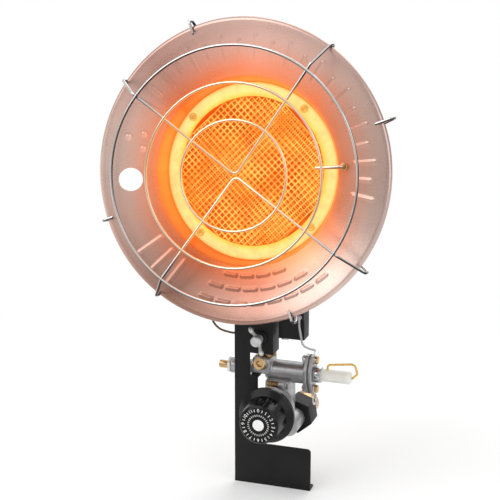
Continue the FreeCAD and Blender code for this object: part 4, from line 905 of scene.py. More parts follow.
    def bends(self, points: Sequence[Vector], radii: Sequence[float], steps: int = 7) -> list[Vector]:
        """Straight runs through the points with a tangent arc at each inner one.

        Args:
            points: The corners of the line.
            radii: The bend at each inner corner.
            steps: Points along each arc.

        Returns:
            The points of the line.
        """
        line = [points[0]]
        for before, point, after, bend in zip(points, points[1:], points[2:], radii):
            back = (before - point).normalized()
            ahead = (after - point).normalized()
            half = back.angle(ahead) / 2
            middle = (back + ahead).normalized()
            centre = point + middle * (bend / math.sin(half))
            first = point + back * (bend / math.tan(half)) - centre
            last = point + ahead * (bend / math.tan(half)) - centre
            for step in range(steps + 1):
                share = step / steps
                line.append(centre + first.slerp(last, share).normalized() * bend)
        line.append(points[-1])
        return line

    def join(self, meshes: Iterable[bpy.types.Mesh]) -> bpy.types.Mesh:
        """Joins meshes into one.

        Args:
            meshes: The meshes, in place.

        Returns:
            One mesh that holds them all.
        """
        shape = bmesh.new()
        for mesh in meshes:
            shape.from_mesh(mesh)
        return self.finished(shape, "joined")

    def grown(self, tree: bpy.types.NodeTree, values: dict[str, Any],
              base: Optional[bpy.types.Mesh] = None) -> bpy.types.Mesh:
        """Runs a geometry tree and keeps its result as a plain mesh.

        Args:
            tree: The geometry tree.
            values: Its inputs, by name.
            base: The mesh that it starts from.

        Returns:
            The grown mesh.
        """
        thing = self.loose(base or bpy.data.meshes.new("seed"))
        modifier = thing.modifiers.new("Grow", "NODES")
        modifier.node_group = tree
        for item in tree.interface.items_tree:
            if item.in_out == "INPUT" and item.name in values:
                modifier[item.identifier] = values[item.name]
        return self.baked(thing)

    def scattered(self, tree: bpy.types.NodeTree, shape: bpy.types.Mesh, spots: Sequence[Vector],
                  finish: bpy.types.Material) -> bpy.types.Mesh:
        """Puts a copy of one shape at every spot of the dish's frame.

        Args:
            tree: The scatter tree.
            shape: The shape, in the dish's axes.
            spots: The places, in the dish's frame.
            finish: The material.

        Returns:
            The copies as one mesh, in the heater's frame.
        """
        prototype = self.loose(shape)
        values = {"Prototype": prototype, "Material": finish}
        mesh = self.grown(tree, values, points_mesh(spots))
        bpy.data.objects.remove(prototype)
        mesh.transform(HEAD.matrix)
        return mesh


class GeometryTrees:
    """The geometry trees that make what repeats."""

    def __init__(self) -> None:
        """Builds both trees."""
        self.weave = self.build_weave()
        self.scatter = self.build_scatter()

    def start(self, name: str, inputs: dict[str, tuple[str, Any]]) -> tuple[NodeGraph, bpy.types.Node]:
        """Starts a tree with named inputs.

        Args:
            name: The tree's name.
            inputs: Input name to its socket type and its default.

        Returns:
            The graph and its input node.
        """
        tree = bpy.data.node_groups.new(name, "GeometryNodeTree")
        tree.interface.new_socket("Geometry", in_out="INPUT", socket_type="NodeSocketGeometry")
        for label, (kind, default) in inputs.items():
            socket = tree.interface.new_socket(label, in_out="INPUT", socket_type=kind)
            if default is not None:
                socket.default_value = default
        tree.interface.new_socket("Geometry", in_out="OUTPUT", socket_type="NodeSocketGeometry")
        graph = NodeGraph(tree)
        return graph, graph.add("NodeGroupInput")

    def end(self, graph: NodeGraph, geometry: Socket, material: Socket) -> bpy.types.NodeTree:
        """Ends a tree with real geometry in one material.

        Args:
            graph: The tree's graph.
            geometry: What it has made.
            material: The material's socket.

        Returns:
            The finished tree.
        """
        real = graph.add("GeometryNodeRealizeInstances", {0: geometry}).outputs[0]
        dressed = graph.add("GeometryNodeSetMaterial", {"Geometry": real, "Material": material})
        graph.add("NodeGroupOutput", {0: dressed.outputs[0]})
        return graph.tree

    def build_weave(self) -> bpy.types.NodeTree:
        """A round woven screen in the xy plane.

        Returns:
            The tree.
        """
        graph, given = self.start("woven_screen", {
            "Radius": ("NodeSocketFloat", 60 * MM),
            "Pitch": ("NodeSocketFloat", 4 * MM),
            "Wire": ("NodeSocketFloat", 0.4 * MM),
            "Wave": ("NodeSocketFloat", 0.4 * MM),
            "Turn": ("NodeSocketFloat", math.radians(45)),
            "Material": ("NodeSocketMaterial", None),
        })
        feed = given.outputs
        half = graph.calc("FLOOR", graph.calc("DIVIDE", feed["Radius"], feed["Pitch"]))
        size = graph.calc("MULTIPLY", graph.calc("MULTIPLY", half, 2.0), feed["Pitch"])
        wires = graph.calc("MULTIPLY_ADD", half, 2.0, 1.0)
        samples = graph.calc("MULTIPLY_ADD", half, 8.0, 1.0)
        families = []
        for turn, phase in ((0.0, 1.0), (math.pi / 2, -1.0)):
            grid = graph.add("GeometryNodeMeshGrid", {
                "Size X": size, "Size Y": size, "Vertices X": wires, "Vertices Y": samples,
            }).outputs[0]
            ends = graph.add("GeometryNodeInputMeshEdgeVertices").outputs
            step = graph.add("ShaderNodeVectorMath", {0: ends[2], 1: ends[3]}, operation="SUBTRACT")
            run = graph.add("ShaderNodeSeparateXYZ", {0: step.outputs[0]}).outputs[0]
            across = graph.add("FunctionNodeCompare", {0: graph.calc("ABSOLUTE", run), 1: 0.01 * MM},
                               operation="GREATER_THAN")
            rows = graph.add("GeometryNodeDeleteGeometry", {0: grid, 1: across.outputs[0]},
                             domain="EDGE", mode="EDGE_FACE").outputs[0]
            place = graph.add("GeometryNodeInputPosition").outputs[0]
            reach = graph.add("ShaderNodeVectorMath", {0: place}, operation="LENGTH").outputs[1]
            beyond = graph.add("FunctionNodeCompare", {0: reach, 1: feed["Radius"]},
                               operation="GREATER_THAN")
            disc = graph.add("GeometryNodeDeleteGeometry", {0: rows, 1: beyond.outputs[0]},
                             domain="POINT", mode="ALL").outputs[0]
            line = graph.add("GeometryNodeMeshToCurve", {0: disc}).outputs[0]
            spot = graph.add("ShaderNodeSeparateXYZ", {0: place}).outputs
            total = graph.calc("DIVIDE", graph.calc("ADD", spot[0], spot[1]), feed["Pitch"])
            wave = graph.calc("COSINE", graph.calc("MULTIPLY", total, math.pi))
            lift = graph.calc("MULTIPLY", graph.calc("MULTIPLY", wave, feed["Wave"]), phase)
            offset = graph.add("ShaderNodeCombineXYZ", {2: lift}).outputs[0]
            waved = graph.add("GeometryNodeSetPosition", {
                "Geometry": line, "Offset": offset,
            }).outputs[0]
            section = graph.add("GeometryNodeCurvePrimitiveCircle", {
                "Resolution": 6, "Radius": feed["Wire"],
            }).outputs[0]
            solid = graph.add("GeometryNodeCurveToMesh", {0: waved, 1: section, "Fill Caps": True})
            families.append(graph.add("GeometryNodeTransform", {
                "Geometry": solid.outputs[0], "Rotation": (0.0, 0.0, turn),
            }).outputs[0])
        joined = graph.add("GeometryNodeJoinGeometry")
        for family in families:
            graph.tree.links.new(family, joined.inputs[0])
        turned = graph.add("ShaderNodeCombineXYZ", {2: feed["Turn"]}).outputs[0]
        placed = graph.add("GeometryNodeTransform", {
            "Geometry": joined.outputs[0], "Rotation": turned,
        }).outputs[0]
        return self.end(graph, placed, feed["Material"])

    def build_scatter(self) -> bpy.types.NodeTree:
        """One prototype at every point of the incoming mesh.

        Returns:
            The tree.
        """
        graph, given = self.start("at_points", {
            "Prototype": ("NodeSocketObject", None),
            "Material": ("NodeSocketMaterial", None),
        })
        feed = given.outputs
        prototype = graph.add("GeometryNodeObjectInfo", {"Object": feed["Prototype"]})
        spread = graph.add("GeometryNodeInstanceOnPoints", {
            "Points": feed["Geometry"], "Instance": prototype.outputs["Geometry"],
        }).outputs[0]
        return self.end(graph, spread, feed["Material"])


def points_mesh(points: Sequence[Vector]) -> bpy.types.Mesh:
    """A mesh of single points.

    Args:
        points: The points.

    Returns:
        The mesh.
    """
    mesh = bpy.data.meshes.new("points")
    mesh.from_pydata([tuple(point) for point in points], [], [])
    return mesh


def arc_points(centre: tuple[float, float], radius: float, start: float, end: float,
               steps: int) -> list[tuple[float, float]]:
    """Points of a round stretch of a profile.

    Args:
        centre: Its centre as (radius, y).
        radius: Its radius.
        start: First angle in degrees.
        end: Last angle in degrees.
        steps: Number of steps.

    Returns:
        The points, both ends included.
    """
    points = []
    for step in range(steps + 1):
        angle = math.radians(start + (end - start) * step / steps)
        points.append((centre[0] + radius * math.cos(angle), centre[1] + radius * math.sin(angle)))
    return points


@dataclass
class Dish:
    """The reflector: thin sheet with pressed beads, a rolled rim and a stepped recess."""

    shop: Workshop
    rim: float = 120.3 * MM
    roll: float = 3.0 * MM
    sheet: float = 0.8 * MM
    lip: float = 76.4 * MM
    lip_depth: float = 15.0 * MM
    recess: float = 72.0 * MM
    floor_depth: float = 31.0 * MM
    hole: float = 61.1 * MM
    segments: int = 700
    bead_height: float = 1.0 * MM
    bead_width: float = 1.9 * MM
    lighting_hole: tuple[float, float, float] = (-95.6 * MM, -11.9 * MM, 9.4 * MM)
    fan_start: float = 150
    fan_pitch: float = 7.9
    fan_count: int = 21
    louvre_rows: tuple[tuple[float, float, float, int], ...] = (
        (82.5, -100, -62, 4), (93, -106, -52, 6), (104, -108, -44, 8),
    )
    left_turns: tuple[float, ...] = (-122, -131, -140)
    dimples: tuple[tuple[float, float], ...] = ((163.5, 90), (171, 88), (167, 101))

    def front(self, radius: float) -> float:
        """Depth of the sheet's front face at a radius of the sloping part."""
        start = self.rim - self.roll
        share = (start - radius) / (start - self.lip)
        bow = 1.1 * MM * math.sin(math.pi * share)
        return self.roll / 2 + (self.lip_depth - self.roll / 2) * share + bow * 0.5

    def beads(self) -> list[tuple[Vector, Vector, float]]:
        """Places of the pressed beads on the face of the dish.

        Returns:
            Ends of each bead as (x, z) pairs in 2D vectors, and its half width.
        """
        found = []

        def polar(turn: float, radius: float) -> Vector:
            """A point of the face, from its angle in degrees and its radius."""
            angle = math.radians(turn)
            return Vector((radius * math.cos(angle), radius * math.sin(angle)))

        for index in range(self.fan_count):
            turn = self.fan_start - index * self.fan_pitch
            inner, outer = (89, 106) if index % 2 == 0 else (93, 102)
            found.append((polar(turn, inner * MM), polar(turn, outer * MM), self.bead_width))
        for radius, first, last, count in self.louvre_rows:
            pitch = (last - first) / count
            for index in range(count):
                ends = [polar(first + pitch * (index + share), radius * MM) for share in (0.18, 0.82)]
                found.append((ends[0], ends[1], self.bead_width * 0.9))
        for turn in self.left_turns:
            found.append((polar(turn, 88 * MM), polar(turn, 108 * MM), self.bead_width))
        for turn, radius in self.dimples:
            found.append((polar(turn, radius * MM), polar(turn + 0.3, radius * MM), 2.2 * MM))
        return found

    def build(self) -> None:
        """Builds the dish and cuts its lighting hole."""
        start = self.rim - self.roll
        steps = 44
        top = start - 0.6 * MM
        slope = [top + (self.lip - top) * step / steps for step in range(steps + 1)]
        face = [(radius, self.front(radius)) for radius in slope]
        round_lip = arc_points((self.lip - 1.6 * MM, self.lip_depth + 1.9 * MM), 1.9 * MM, -62, -12, 4)
        wall = [(self.recess + 0.5 * MM, self.floor_depth - 5 * MM)]
        corner = arc_points((self.recess - 1.6 * MM, self.floor_depth - 1.6 * MM), 1.6 * MM, 0, 90, 4)
        inner = [(self.hole, self.floor_depth)]
        front = face + round_lip + wall + corner + inner
        leans = ((face, 0.3, 1.0), (round_lip, 0.95, 0.3), (wall, 1.0, 0.15),
                 (corner, 0.5, 0.9), (inner, 0.0, 1.0))
        back = [(radius + self.sheet * lean, depth + self.sheet * drop)
                for stretch, lean, drop in leans for radius, depth in stretch]
        rim_centre = (start, self.roll)
        roll = arc_points(rim_centre, self.roll, 115, -115, 18)
        profile = front + back[::-1] + roll
        mesh = self.shop.lathe(profile, self.segments)
        self.press(mesh)
        self.pierce(mesh)

    def press(self, mesh: bpy.types.Mesh) -> None:
        """Presses the beads forward into the sheet.

        Args:
            mesh: The turned dish, still in its own frame.
        """
        count = len(mesh.vertices)
        flat = np.empty(count * 3)
        mesh.vertices.foreach_get("co", flat)
        place = flat.reshape(-1, 3)
        radius = np.hypot(place[:, 0], place[:, 2])
        on_slope = (radius < self.rim - self.roll - 0.8 * MM) & (radius > self.lip + 0.6 * MM)
        lift = np.zeros(count)
        for first, last, width in self.beads():
            run = np.array(last - first)
            spot = place[:, (0, 2)] - np.array(first)
            share = np.clip(spot @ run / max(run @ run, 1e-12), 0, 1)
            away = np.linalg.norm(spot - share[:, None] * run, axis=1)
            rise = np.clip(1 - (away / width) ** 2, 0, 1)
            lift = np.maximum(lift, rise ** 1.5)
        place[:, 1] -= np.where(on_slope, lift * self.bead_height, 0)
        mesh.vertices.foreach_set("co", place.ravel())
        mesh.update()

    def pierce(self, mesh: bpy.types.Mesh) -> None:
        """Cuts the lighting hole and makes the piece.

        Args:
            mesh: The pressed dish, still in its own frame.
        """
        x, z, radius = self.lighting_hole
        near, far = -20 * MM, 40 * MM
        outline = [(0, near), (radius, near), (radius, far), (0, far)]
        cutter = self.shop.lathe(outline, 64, closed=False)
        cutter.transform(Matrix.Translation((x, 0, z)))
        drill = self.shop.loose(cutter)
        thing = self.shop.loose(mesh)
        cut = thing.modifiers.new("Hole", "BOOLEAN")
        cut.operation = "DIFFERENCE"
        cut.solver = "EXACT"
        cut.object = drill
        done = self.shop.baked(thing)
        bpy.data.objects.remove(drill)
        done.transform(HEAD.matrix)
        self.shop.smooth(done, 45)
        self.shop.piece("dish", done, self.shop.finishes.dish, Body.HEATER, "dish_steel",
                        ["reflector"])


@dataclass
class Burner:
    """Burner cup with its flange, two woven screens, the hot plate and the flange rivets."""

    shop: Workshop
    trees: GeometryTrees
    cup: float = 61.0 * MM
    wall: float = 1.0 * MM
    cup_front: float = 29.0 * MM
    cup_back: float = 68.0 * MM
    back_round: float = 3.0 * MM
    rib: tuple[float, float] = (46 * MM, 38 * MM)
    rib_slope: float = 2.0 * MM
    rib_depth: float = 0.8 * MM
    flange: float = 71.2 * MM
    flange_front: float = 30.0 * MM
    flange_back: float = 31.0 * MM
    rivet_circle: float = 66.1 * MM
    rivet_turn: float = 51.7
    screen: float = 59.7 * MM
    pitch: float = 4.0 * MM
    wire: float = 0.33 * MM
    aligned: tuple[float, float] = (22.0 * MM, -2.0 * MM)
    sight_shift: tuple[float, float] = (-1.18 * MM, -0.17 * MM)
    back_turn: float = 3.6

    def build(self) -> None:
        """Builds every piece of the burner."""
        self.build_cup()
        self.build_screens()
        self.build_plate()
        self.build_rivets()

    def build_cup(self) -> None:
        """The cup: rolled front edge, flange with a stiffening step and a ribbed back."""
        inside = self.cup - self.wall
        ease = 0.45 * MM
        half = self.wall / 2
        front_edge = arc_points((self.cup - half, self.cup_front + half), half, 180, 360, 8)
        root = arc_points((self.cup + ease, self.flange_front - ease), ease, 180, 90, 4)
        edge = arc_points((self.flange - ease, self.flange_front + ease), ease, -90, 90, 6)
        under = arc_points((self.cup + ease, self.flange_back + ease), ease, -90, -180, 4)
        turn_in = (self.cup - self.back_round, self.cup_back - self.back_round)
        back = arc_points(turn_in, self.back_round, 0, 90, 6)
        outer_rib, inner_rib = self.rib
        sunk = self.cup_back - self.rib_depth
        bead = [(outer_rib, self.cup_back), (outer_rib - self.rib_slope, sunk),
                (inner_rib + self.rib_slope, sunk), (inner_rib, self.cup_back), (0.0, self.cup_back)]
        inner = [(0.0, sunk - self.wall), (outer_rib, sunk - self.wall),
                 (inside - 2 * MM, self.cup_back - self.wall), (inside, self.cup_back - self.back_round)]
        profile = front_edge + root + edge + under + back + bead + inner
        mesh = self.shop.lathe(profile, 192)
        mesh.transform(HEAD.matrix)
        self.shop.smooth(mesh, 35)
        self.shop.piece("burner_shell", mesh, self.shop.finishes.flange, Body.HEATER, "burner_steel",
                        ["burner_cup"])

    def build_screens(self) -> None:
        """The two woven screens, the back one turned a little against the front one."""
        upright = Matrix.Rotation(math.radians(90), 4, "X")
        finishes = self.shop.finishes
        spot = Vector(self.aligned)
        sight = Vector(self.sight_shift)
        turned = Matrix.Rotation(math.radians(self.back_turn), 2)
        slip = spot + sight - turned @ spot
        for name, node, depth, turn, shift, finish in (
                ("weave_front", "screen_front", 29.7, 45.0, (0.0, 0.0), finishes.screen_front),
                ("weave_back", "screen_back", 33.7, 45.0 + self.back_turn, slip, finishes.screen_back)):
            mesh = self.shop.grown(self.trees.weave, {
                "Radius": self.screen + 0.1 * MM, "Pitch": self.pitch, "Wire": self.wire,
                "Wave": self.wire, "Turn": math.radians(turn), "Material": finish,
            })
            place = Matrix.Translation((shift[0], depth * MM, shift[1]))
            mesh.transform(HEAD.matrix @ place @ upright)
            self.shop.smooth(mesh, 80)
            self.shop.piece(name, mesh, finish, Body.HEATER, "screen", [node])

    def build_plate(self) -> None:
        """The perforated plate behind the screens, which glows through them."""
        mesh = self.shop.eased("spreader_plate", 0.25 * MM, 1)
        self.shop.piece("hot_plate", mesh, self.shop.finishes.ember, Body.HEATER, "plated_steel",
                        ["spreader_plate"])

    def build_rivets(self) -> None:
        """Four tubular rivets: a rolled ring head with a dimple."""
        r = 3.4 * MM
        profile = [(0.0, 0.9 * MM), (0.9 * MM, 0.85 * MM), (1.3 * MM, 0.2 * MM)]
        profile += arc_points((2.35 * MM, 0.95 * MM), 1.05 * MM, 200, 330, 7)
        profile += [(r, 1.55 * MM), (0.0, 1.55 * MM)]
        profile = [(radius, y - 1.55 * MM) for radius, y in profile]
        tail = [(0.0, 1.0 * MM), (1.9 * MM, 1.0 * MM), (1.9 * MM, 1.85 * MM)]
        tail += arc_points((1.7 * MM, 2.1 * MM), 0.9 * MM, -30, 80, 4) + [(0.0, 2.7 * MM)]
        prototype = self.shop.join([
            self.shop.lathe(profile, 28, closed=False), self.shop.lathe(tail, 28, closed=False)])
        spots = [HEAD.point(self.rivet_turn + 90 * index, self.rivet_circle, self.flange_front)
                 for index in range(4)]
        # The rivets' finish carries a painted glow of the burner's light.
        finish = self.shop.finishes.rivet
        mesh = self.shop.scattered(self.trees.scatter, prototype, spots, finish)
        self.shop.smooth(mesh, 35)
        self.shop.piece("rivets", mesh, finish, Body.HEATER, "burner_steel", ["flange_rivets"])


@dataclass
class Guard:
    """The wire guard before the dish and the two wires that hold it from behind."""

    shop: Workshop
    trees: GeometryTrees
    wire: float = 1.1 * MM
    rim: float = 117.3 * MM
    roll: float = 3.0 * MM
    crossing: tuple[float, float] = (-0.6 * MM, -2.6 * MM)
    rise: float = 7.8 * MM
    slope: float = 0.095
    bend: float = 5.0 * MM
    rings: tuple[float, float, float] = (43.0 * MM, 71.4 * MM, 99.6 * MM)
    upper: tuple[float, float] = (146.4, 55.9)
    lower: tuple[float, float] = (-122.2, -33.7)

    def depth(self, radius: float) -> float:
        """Depth of a guard wire's middle at a radius; negative is before the rim."""
        return -(self.rise + self.slope * radius)

    def leg(self, turn: float, reach: float, middle: Vector) -> list[Vector]:
        """One leg of a guard wire, from its hooked tip to the bend before the rim.

        Args:
            turn: The leg's angle in degrees.
            reach: How far its hook stands off the rim.
            middle: The crossing of the wires.

        Returns:
            The corners of the leg.
        """
        gap = self.roll + self.wire + 0.05 * MM
        outer = self.rim + gap + reach
        bend = HEAD.point(turn, self.rings[2] + 3 * MM, middle.y)
        bend.y = self.depth((bend - middle).length)
        return [
            HEAD.point(turn, self.rim - 1 * MM, self.roll + gap + 2.3 * MM),
            HEAD.point(turn, outer, self.roll + gap + 0.15 * MM),
            HEAD.point(turn, outer, -2 * MM),
            bend,
        ]

    def build(self) -> None:
        """Builds wires, rings and welds."""
        middle = Vector((self.crossing[0], self.depth(0), self.crossing[1]))
        hook = self.roll + self.wire
        radii = [hook, hook, 4 * MM]
        for name, turns, reaches in (("guard_wire_upper", self.upper, (0.0, 0.0)),
                                     ("guard_wire_lower", self.lower, (0.0, 5 * MM))):
            first = self.leg(turns[0], reaches[0], middle)
            second = self.leg(turns[1], reaches[1], middle)
            corners = first + [middle] + second[::-1]
            self.wire_piece(name, corners, radii + [self.bend] + radii[::-1])
        centre = Vector((self.crossing[0], 0, self.crossing[1]))
        names = ("guard_ring_small", "guard_ring_middle", "guard_ring_large")
        for name, radius in zip(names, self.rings):
            depth = self.ring_depth(radius)
            count = int(radius / (1.1 * MM))
            line = [centre + HEAD.point(360 * step / count, radius, depth) for step in range(count)]
            mesh = self.shop.tube(line, self.wire, 12, closed=True)
            self.keep_wire(name, mesh)
        self.build_rear()
        self.build_welds(centre)

    def ring_depth(self, radius: float) -> float:
        """Depth of a ring's middle."""
        return self.depth(radius) - 2 * self.wire - 0.05 * MM

    def wire_piece(self, name: str, corners: Sequence[Vector], radii: Sequence[float]) -> None:
        """Builds one bent wire in the place of its CAD node.

        Args:
            name: The CAD node's name.
            corners: The corners of the wire.
            radii: The bend at each inner corner.
        """
        mesh = self.shop.tube(self.shop.bends(corners, radii), self.wire, 12)
        self.keep_wire(name, mesh)

    def keep_wire(self, node: str, mesh: bpy.types.Mesh) -> None:
        """Places a wire mesh and makes it a piece.

        Args:
            node: The CAD node that it replaces.
            mesh: The mesh in the dish's frame.
        """
        mesh.transform(HEAD.matrix)
        finish = self.shop.finishes.wire
        self.shop.piece(node + "_bright", mesh, finish, Body.HEATER, "wire_steel", [node])

    def build_rear(self) -> None:
        """The two frame wires that cross behind the burner."""
        gap = self.roll + self.wire + 0.1 * MM
        wide = 65.5 * MM
        behind = 68 * MM + 2 * MM + self.wire + 0.2 * MM
        for name, hooks, layer in (
                ("frame_wire_steep", ((112.5, 3.5), (-66.3, 3.0)), 0),
                ("frame_wire_flat", ((22.0, 6.5), (-158.0, 2.0)), 1)):
            depth = behind + layer * (2 * self.wire + 0.05 * MM)
            legs = []
            for turn, reach in hooks:
                outer = self.rim + gap + reach * MM
                legs.append([
                    HEAD.point(turn, self.rim - 3 * MM, self.roll - gap),
                    HEAD.point(turn, outer, self.roll - gap),
                    HEAD.point(turn, outer, self.roll + 4.5 * MM),
                    HEAD.point(turn, wide, depth),
                ])
            radii = [2.4 * MM, 3 * MM, 8 * MM]
            self.wire_piece(name, legs[0] + legs[1][::-1], radii + radii[::-1])

    def build_welds(self, centre: Vector) -> None:
        """A flattened weld nugget wherever a ring meets a guard wire."""
        spots = []
        middle = Vector((centre.x, self.depth(0), centre.z))
        for turn in (*self.upper, *self.lower):
            bend = HEAD.point(turn, self.rings[2] + 3 * MM, 0)
            bend.y = self.depth((bend - middle).length)
            along = bend - middle
            for radius in self.rings:
                share = radius / math.hypot(along.x, along.z)
                spot = middle + along * min(share, 1.0)
                spots.append(spot + Vector((0, -self.wire, 0)))
        shape = bmesh.new()
        bmesh.ops.create_icosphere(shape, subdivisions=2, radius=1.25 * MM)
        bmesh.ops.scale(shape, vec=(1.0, 0.75, 1.0), verts=shape.verts)
        prototype = self.shop.finished(shape, "nugget")
        finish = self.shop.finishes.wire
        mesh = self.shop.scattered(self.trees.scatter, prototype, spots, finish)
        self.shop.smooth(mesh, 80)
        self.shop.piece("guard_welds", mesh, finish, Body.HEATER, "wire_steel")


@dataclass
class Knob:
    """The regulator knob: its printed dial ring, its ticks and the cap."""

    shop: Workshop
    trees: GeometryTrees
    x: float = -10.4 * MM
    z: float = 17.7 * MM
    front: float = -97.3 * MM
    numbers: int = 12
    number_radius: float = 12.6 * MM
    number_size: float = 4.0 * MM
    ticks: int = 30
    tick_radius: float = 8.4 * MM
    print_height: float = 0.06 * MM

    @property
    def matrix(self) -> Matrix:
        """From the knob's own frame, its face at y = 0, to the heater's."""
        return Matrix.Translation((self.x, self.front, self.z))

    def build(self) -> None:
        """Builds the knob and what is printed on it."""
        finishes = self.shop.finishes
        mesh = self.shop.eased("knob", 0.6 * MM, 3)
        self.shop.piece("knob_grip", mesh, finishes.moulded, Body.KNOB, "black_plastic", ["knob"])
        cap = self.shop.lathe([(0.0, -0.55 * MM), (3.6 * MM, -0.5 * MM), (4.4 * MM, -0.25 * MM),
                               (4.75 * MM, 0.0), (0.0, 0.0)], 48, closed=False)
        cap.transform(self.matrix)
        self.shop.smooth(cap, 50)
        self.shop.piece("knob_button", cap, finishes.white, Body.KNOB, "white_plastic", ["knob_cap"])
        self.build_print()

    def build_print(self) -> None:
        """Numbers and ticks on the face."""
        parts = []
        for index in range(self.numbers):
            turn = 90 - 360 * index / self.numbers
            parts.append(self.digit(str(index), turn, self.number_radius))
        for index in range(self.numbers * 3):
            if index % 3 == 1:
                turn = 90 - 360 * (index + 0.5) / (self.numbers * 3)
                parts.append(self.bar(turn, self.number_radius, 2.2 * MM, 0.5 * MM))
        for index in range(self.ticks):
            parts.append(self.bar(360 / self.ticks * index, self.tick_radius, 1.5 * MM, 0.45 * MM))
        mesh = self.shop.join(parts)
        mesh.transform(self.matrix)
        self.shop.piece("knob_dial", mesh, self.shop.finishes.white, Body.KNOB, "white_plastic")

    def digit(self, text: str, turn: float, radius: float) -> bpy.types.Mesh:
        """One number that stands upright to the knob's axis.

        Args:
            text: The number.
            turn: Its angle on the face, in degrees.
            radius: Its distance from the axis.

        Returns:
            Its mesh in the knob's frame.
        """
        curve = bpy.data.curves.new("digit", "FONT")
        curve.body = text
        curve.size = self.number_size
        curve.extrude = self.print_height / 2
        curve.align_x = "CENTER"
        curve.align_y = "CENTER"
        thing = bpy.data.objects.new("digit", curve)
        bpy.context.scene.collection.objects.link(thing)
        mesh = self.shop.baked(thing)
        upright = Matrix.Rotation(math.radians(90), 4, "X")
        around = Matrix.Rotation(-math.radians(turn - 90), 4, "Y")
        out = Matrix.Translation((0, -self.print_height / 2, radius))
        mesh.transform(around @ out @ upright)
        return mesh

    def bar(self, turn: float, radius: float, length: float, width: float) -> bpy.types.Mesh:
        """One printed tick.

        Args:
            turn: Its angle on the face, in degrees.
            radius: Distance of its middle from the axis.
            length: Its length along the radius.
            width: Its width.

        Returns:
            Its mesh in the knob's frame.
        """
        shape = bmesh.new()
        bmesh.ops.create_cube(shape, size=1.0)
        bmesh.ops.scale(shape, vec=(width, self.print_height, length), verts=shape.verts)
        mesh = self.shop.finished(shape, "tick")
        around = Matrix.Rotation(-math.radians(turn - 90), 4, "Y")
        mesh.transform(around @ Matrix.Translation((0, -self.print_height / 2, radius)))
        return mesh


@dataclass(frozen=True)
class Dressing:
    """How a CAD node is rounded and finished."""

    node: str
    finish: str
    body: Body
    slot: str
    ease: float = 0.3 * MM
    segments: int = 2


@dataclass
class Hardware:
    """The pieces whose CAD shape stays, with its edges rounded."""

    shop: Workshop
    cast_nodes: tuple[str, ...] = ("valve_body", "valve_cover", "regulator_case", "regulator_bonnet")
    list_of: Sequence[Dressing] = field(default_factory=lambda: (
        Dressing("bracket", "black_coat", Body.HEATER, "black_steel", 0.6 * MM, 3),
        Dressing("head_arm", "black_coat", Body.HEATER, "black_steel", 0.6 * MM, 3),
        Dressing("tilt_switch", "matt_black", Body.HEATER, "black_plastic", 1.2 * MM, 4),
        Dressing("hand_wheel", "matt_black", Body.HAND_WHEEL, "black_plastic", 1.2 * MM, 4),
        Dressing("inlet_nut", "brass", Body.HAND_WHEEL, "brass", 0.4 * MM),
        Dressing("inlet_stem", "brass", Body.HEATER, "brass", 0.3 * MM),
        Dressing("soft_nose", "rubber", Body.HEATER, "seal", 0.5 * MM),
        Dressing("clamp_bolt", "plated", Body.HEATER, "plated_steel", 0.4 * MM),
        Dressing("clamp_washer", "black_coat", Body.HEATER, "plated_steel", 0.3 * MM),
        Dressing("arm_screws", "plated", Body.HEATER, "plated_steel", 0.4 * MM),
        Dressing("switch_rivets", "plated", Body.HEATER, "plated_steel", 0.4 * MM),
        Dressing("switch_terminal", "plated", Body.HEATER, "plated_steel", 0.15 * MM),
        Dressing("flange_nuts", "plated", Body.HEATER, "plated_steel", 0.3 * MM),
        Dressing("flange_screws", "brass", Body.HEATER, "brass", 0.4 * MM),
        Dressing("return_tag", "plated", Body.HEATER, "plated_steel", 0.15 * MM),
        Dressing("loop_tag", "plated", Body.HEATER, "plated_steel", 0.15 * MM),
        Dressing("valve_gasket", "fibre", Body.HEATER, "gasket", 0.1 * MM, 1),
        Dressing("port_plug", "brass", Body.HEATER, "brass", 0.35 * MM),
        Dressing("bleed_plug", "brass", Body.HEATER, "brass", 0.25 * MM),
        Dressing("button_collar", "chrome", Body.HEATER, "wire_steel", 0.4 * MM),
        Dressing("push_button", "nylon", Body.BUTTON, "white_plastic", 0.9 * MM, 4),
        Dressing("magnet_nut", "plated", Body.HEATER, "plated_steel", 0.4 * MM),
        Dressing("magnet_unit", "brass", Body.HEATER, "brass", 0.2 * MM),
        Dressing("magnet_connector", "brass", Body.HEATER, "brass", 0.35 * MM),
        Dressing("neck_washer", "plated", Body.HEATER, "plated_steel", 0.3 * MM),
        Dressing("shelf_screw", "plated", Body.HEATER, "plated_steel", 0.3 * MM),
        Dressing("injector_nut", "brass", Body.HEATER, "brass", 0.4 * MM),
        Dressing("mixing_tube", "plated", Body.HEATER, "plated_steel", 0.2 * MM),
        Dressing("sensor_bush", "brass", Body.HEATER, "brass", 0.4 * MM),
        Dressing("lead_bead", "grey_sleeve", Body.HEATER, "lead_grey", 0.5 * MM),
    ))
    hidden: tuple[tuple[str, str], ...] = (
        ("diaphragm", "rubber"), ("regulator_spring", "plated"), ("spring_cup", "plated"),
        ("return_spring", "plated"), ("plunger", "brass"), ("knob_spindle", "plated"),
        ("sensor_lead", "brown_sleeve"), ("return_lead", "grey_sleeve"),
        ("handle_wire", "gold_wire"), ("flame_sensor", "wire"),
    )

    def build(self) -> None:
        """Dresses every node of the list, the castings and the nodes that keep their mesh."""
        for item in self.list_of:
            mesh = self.shop.eased(item.node, item.ease, item.segments)
            material = getattr(self.shop.finishes, item.finish)
            self.shop.piece(item.node + "_eased", mesh, material, item.body, item.slot, [item.node])
        for node in self.cast_nodes:
            mesh = self.shop.cast(node)
            finish = self.shop.finishes.cast
            self.shop.piece(node + "_cast", mesh, finish, Body.HEATER, "cast_zinc", [node])
        for node, finish in self.hidden:
            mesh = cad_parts[node].data
            mesh.materials.clear()
            mesh.materials.append(getattr(self.shop.finishes, finish))


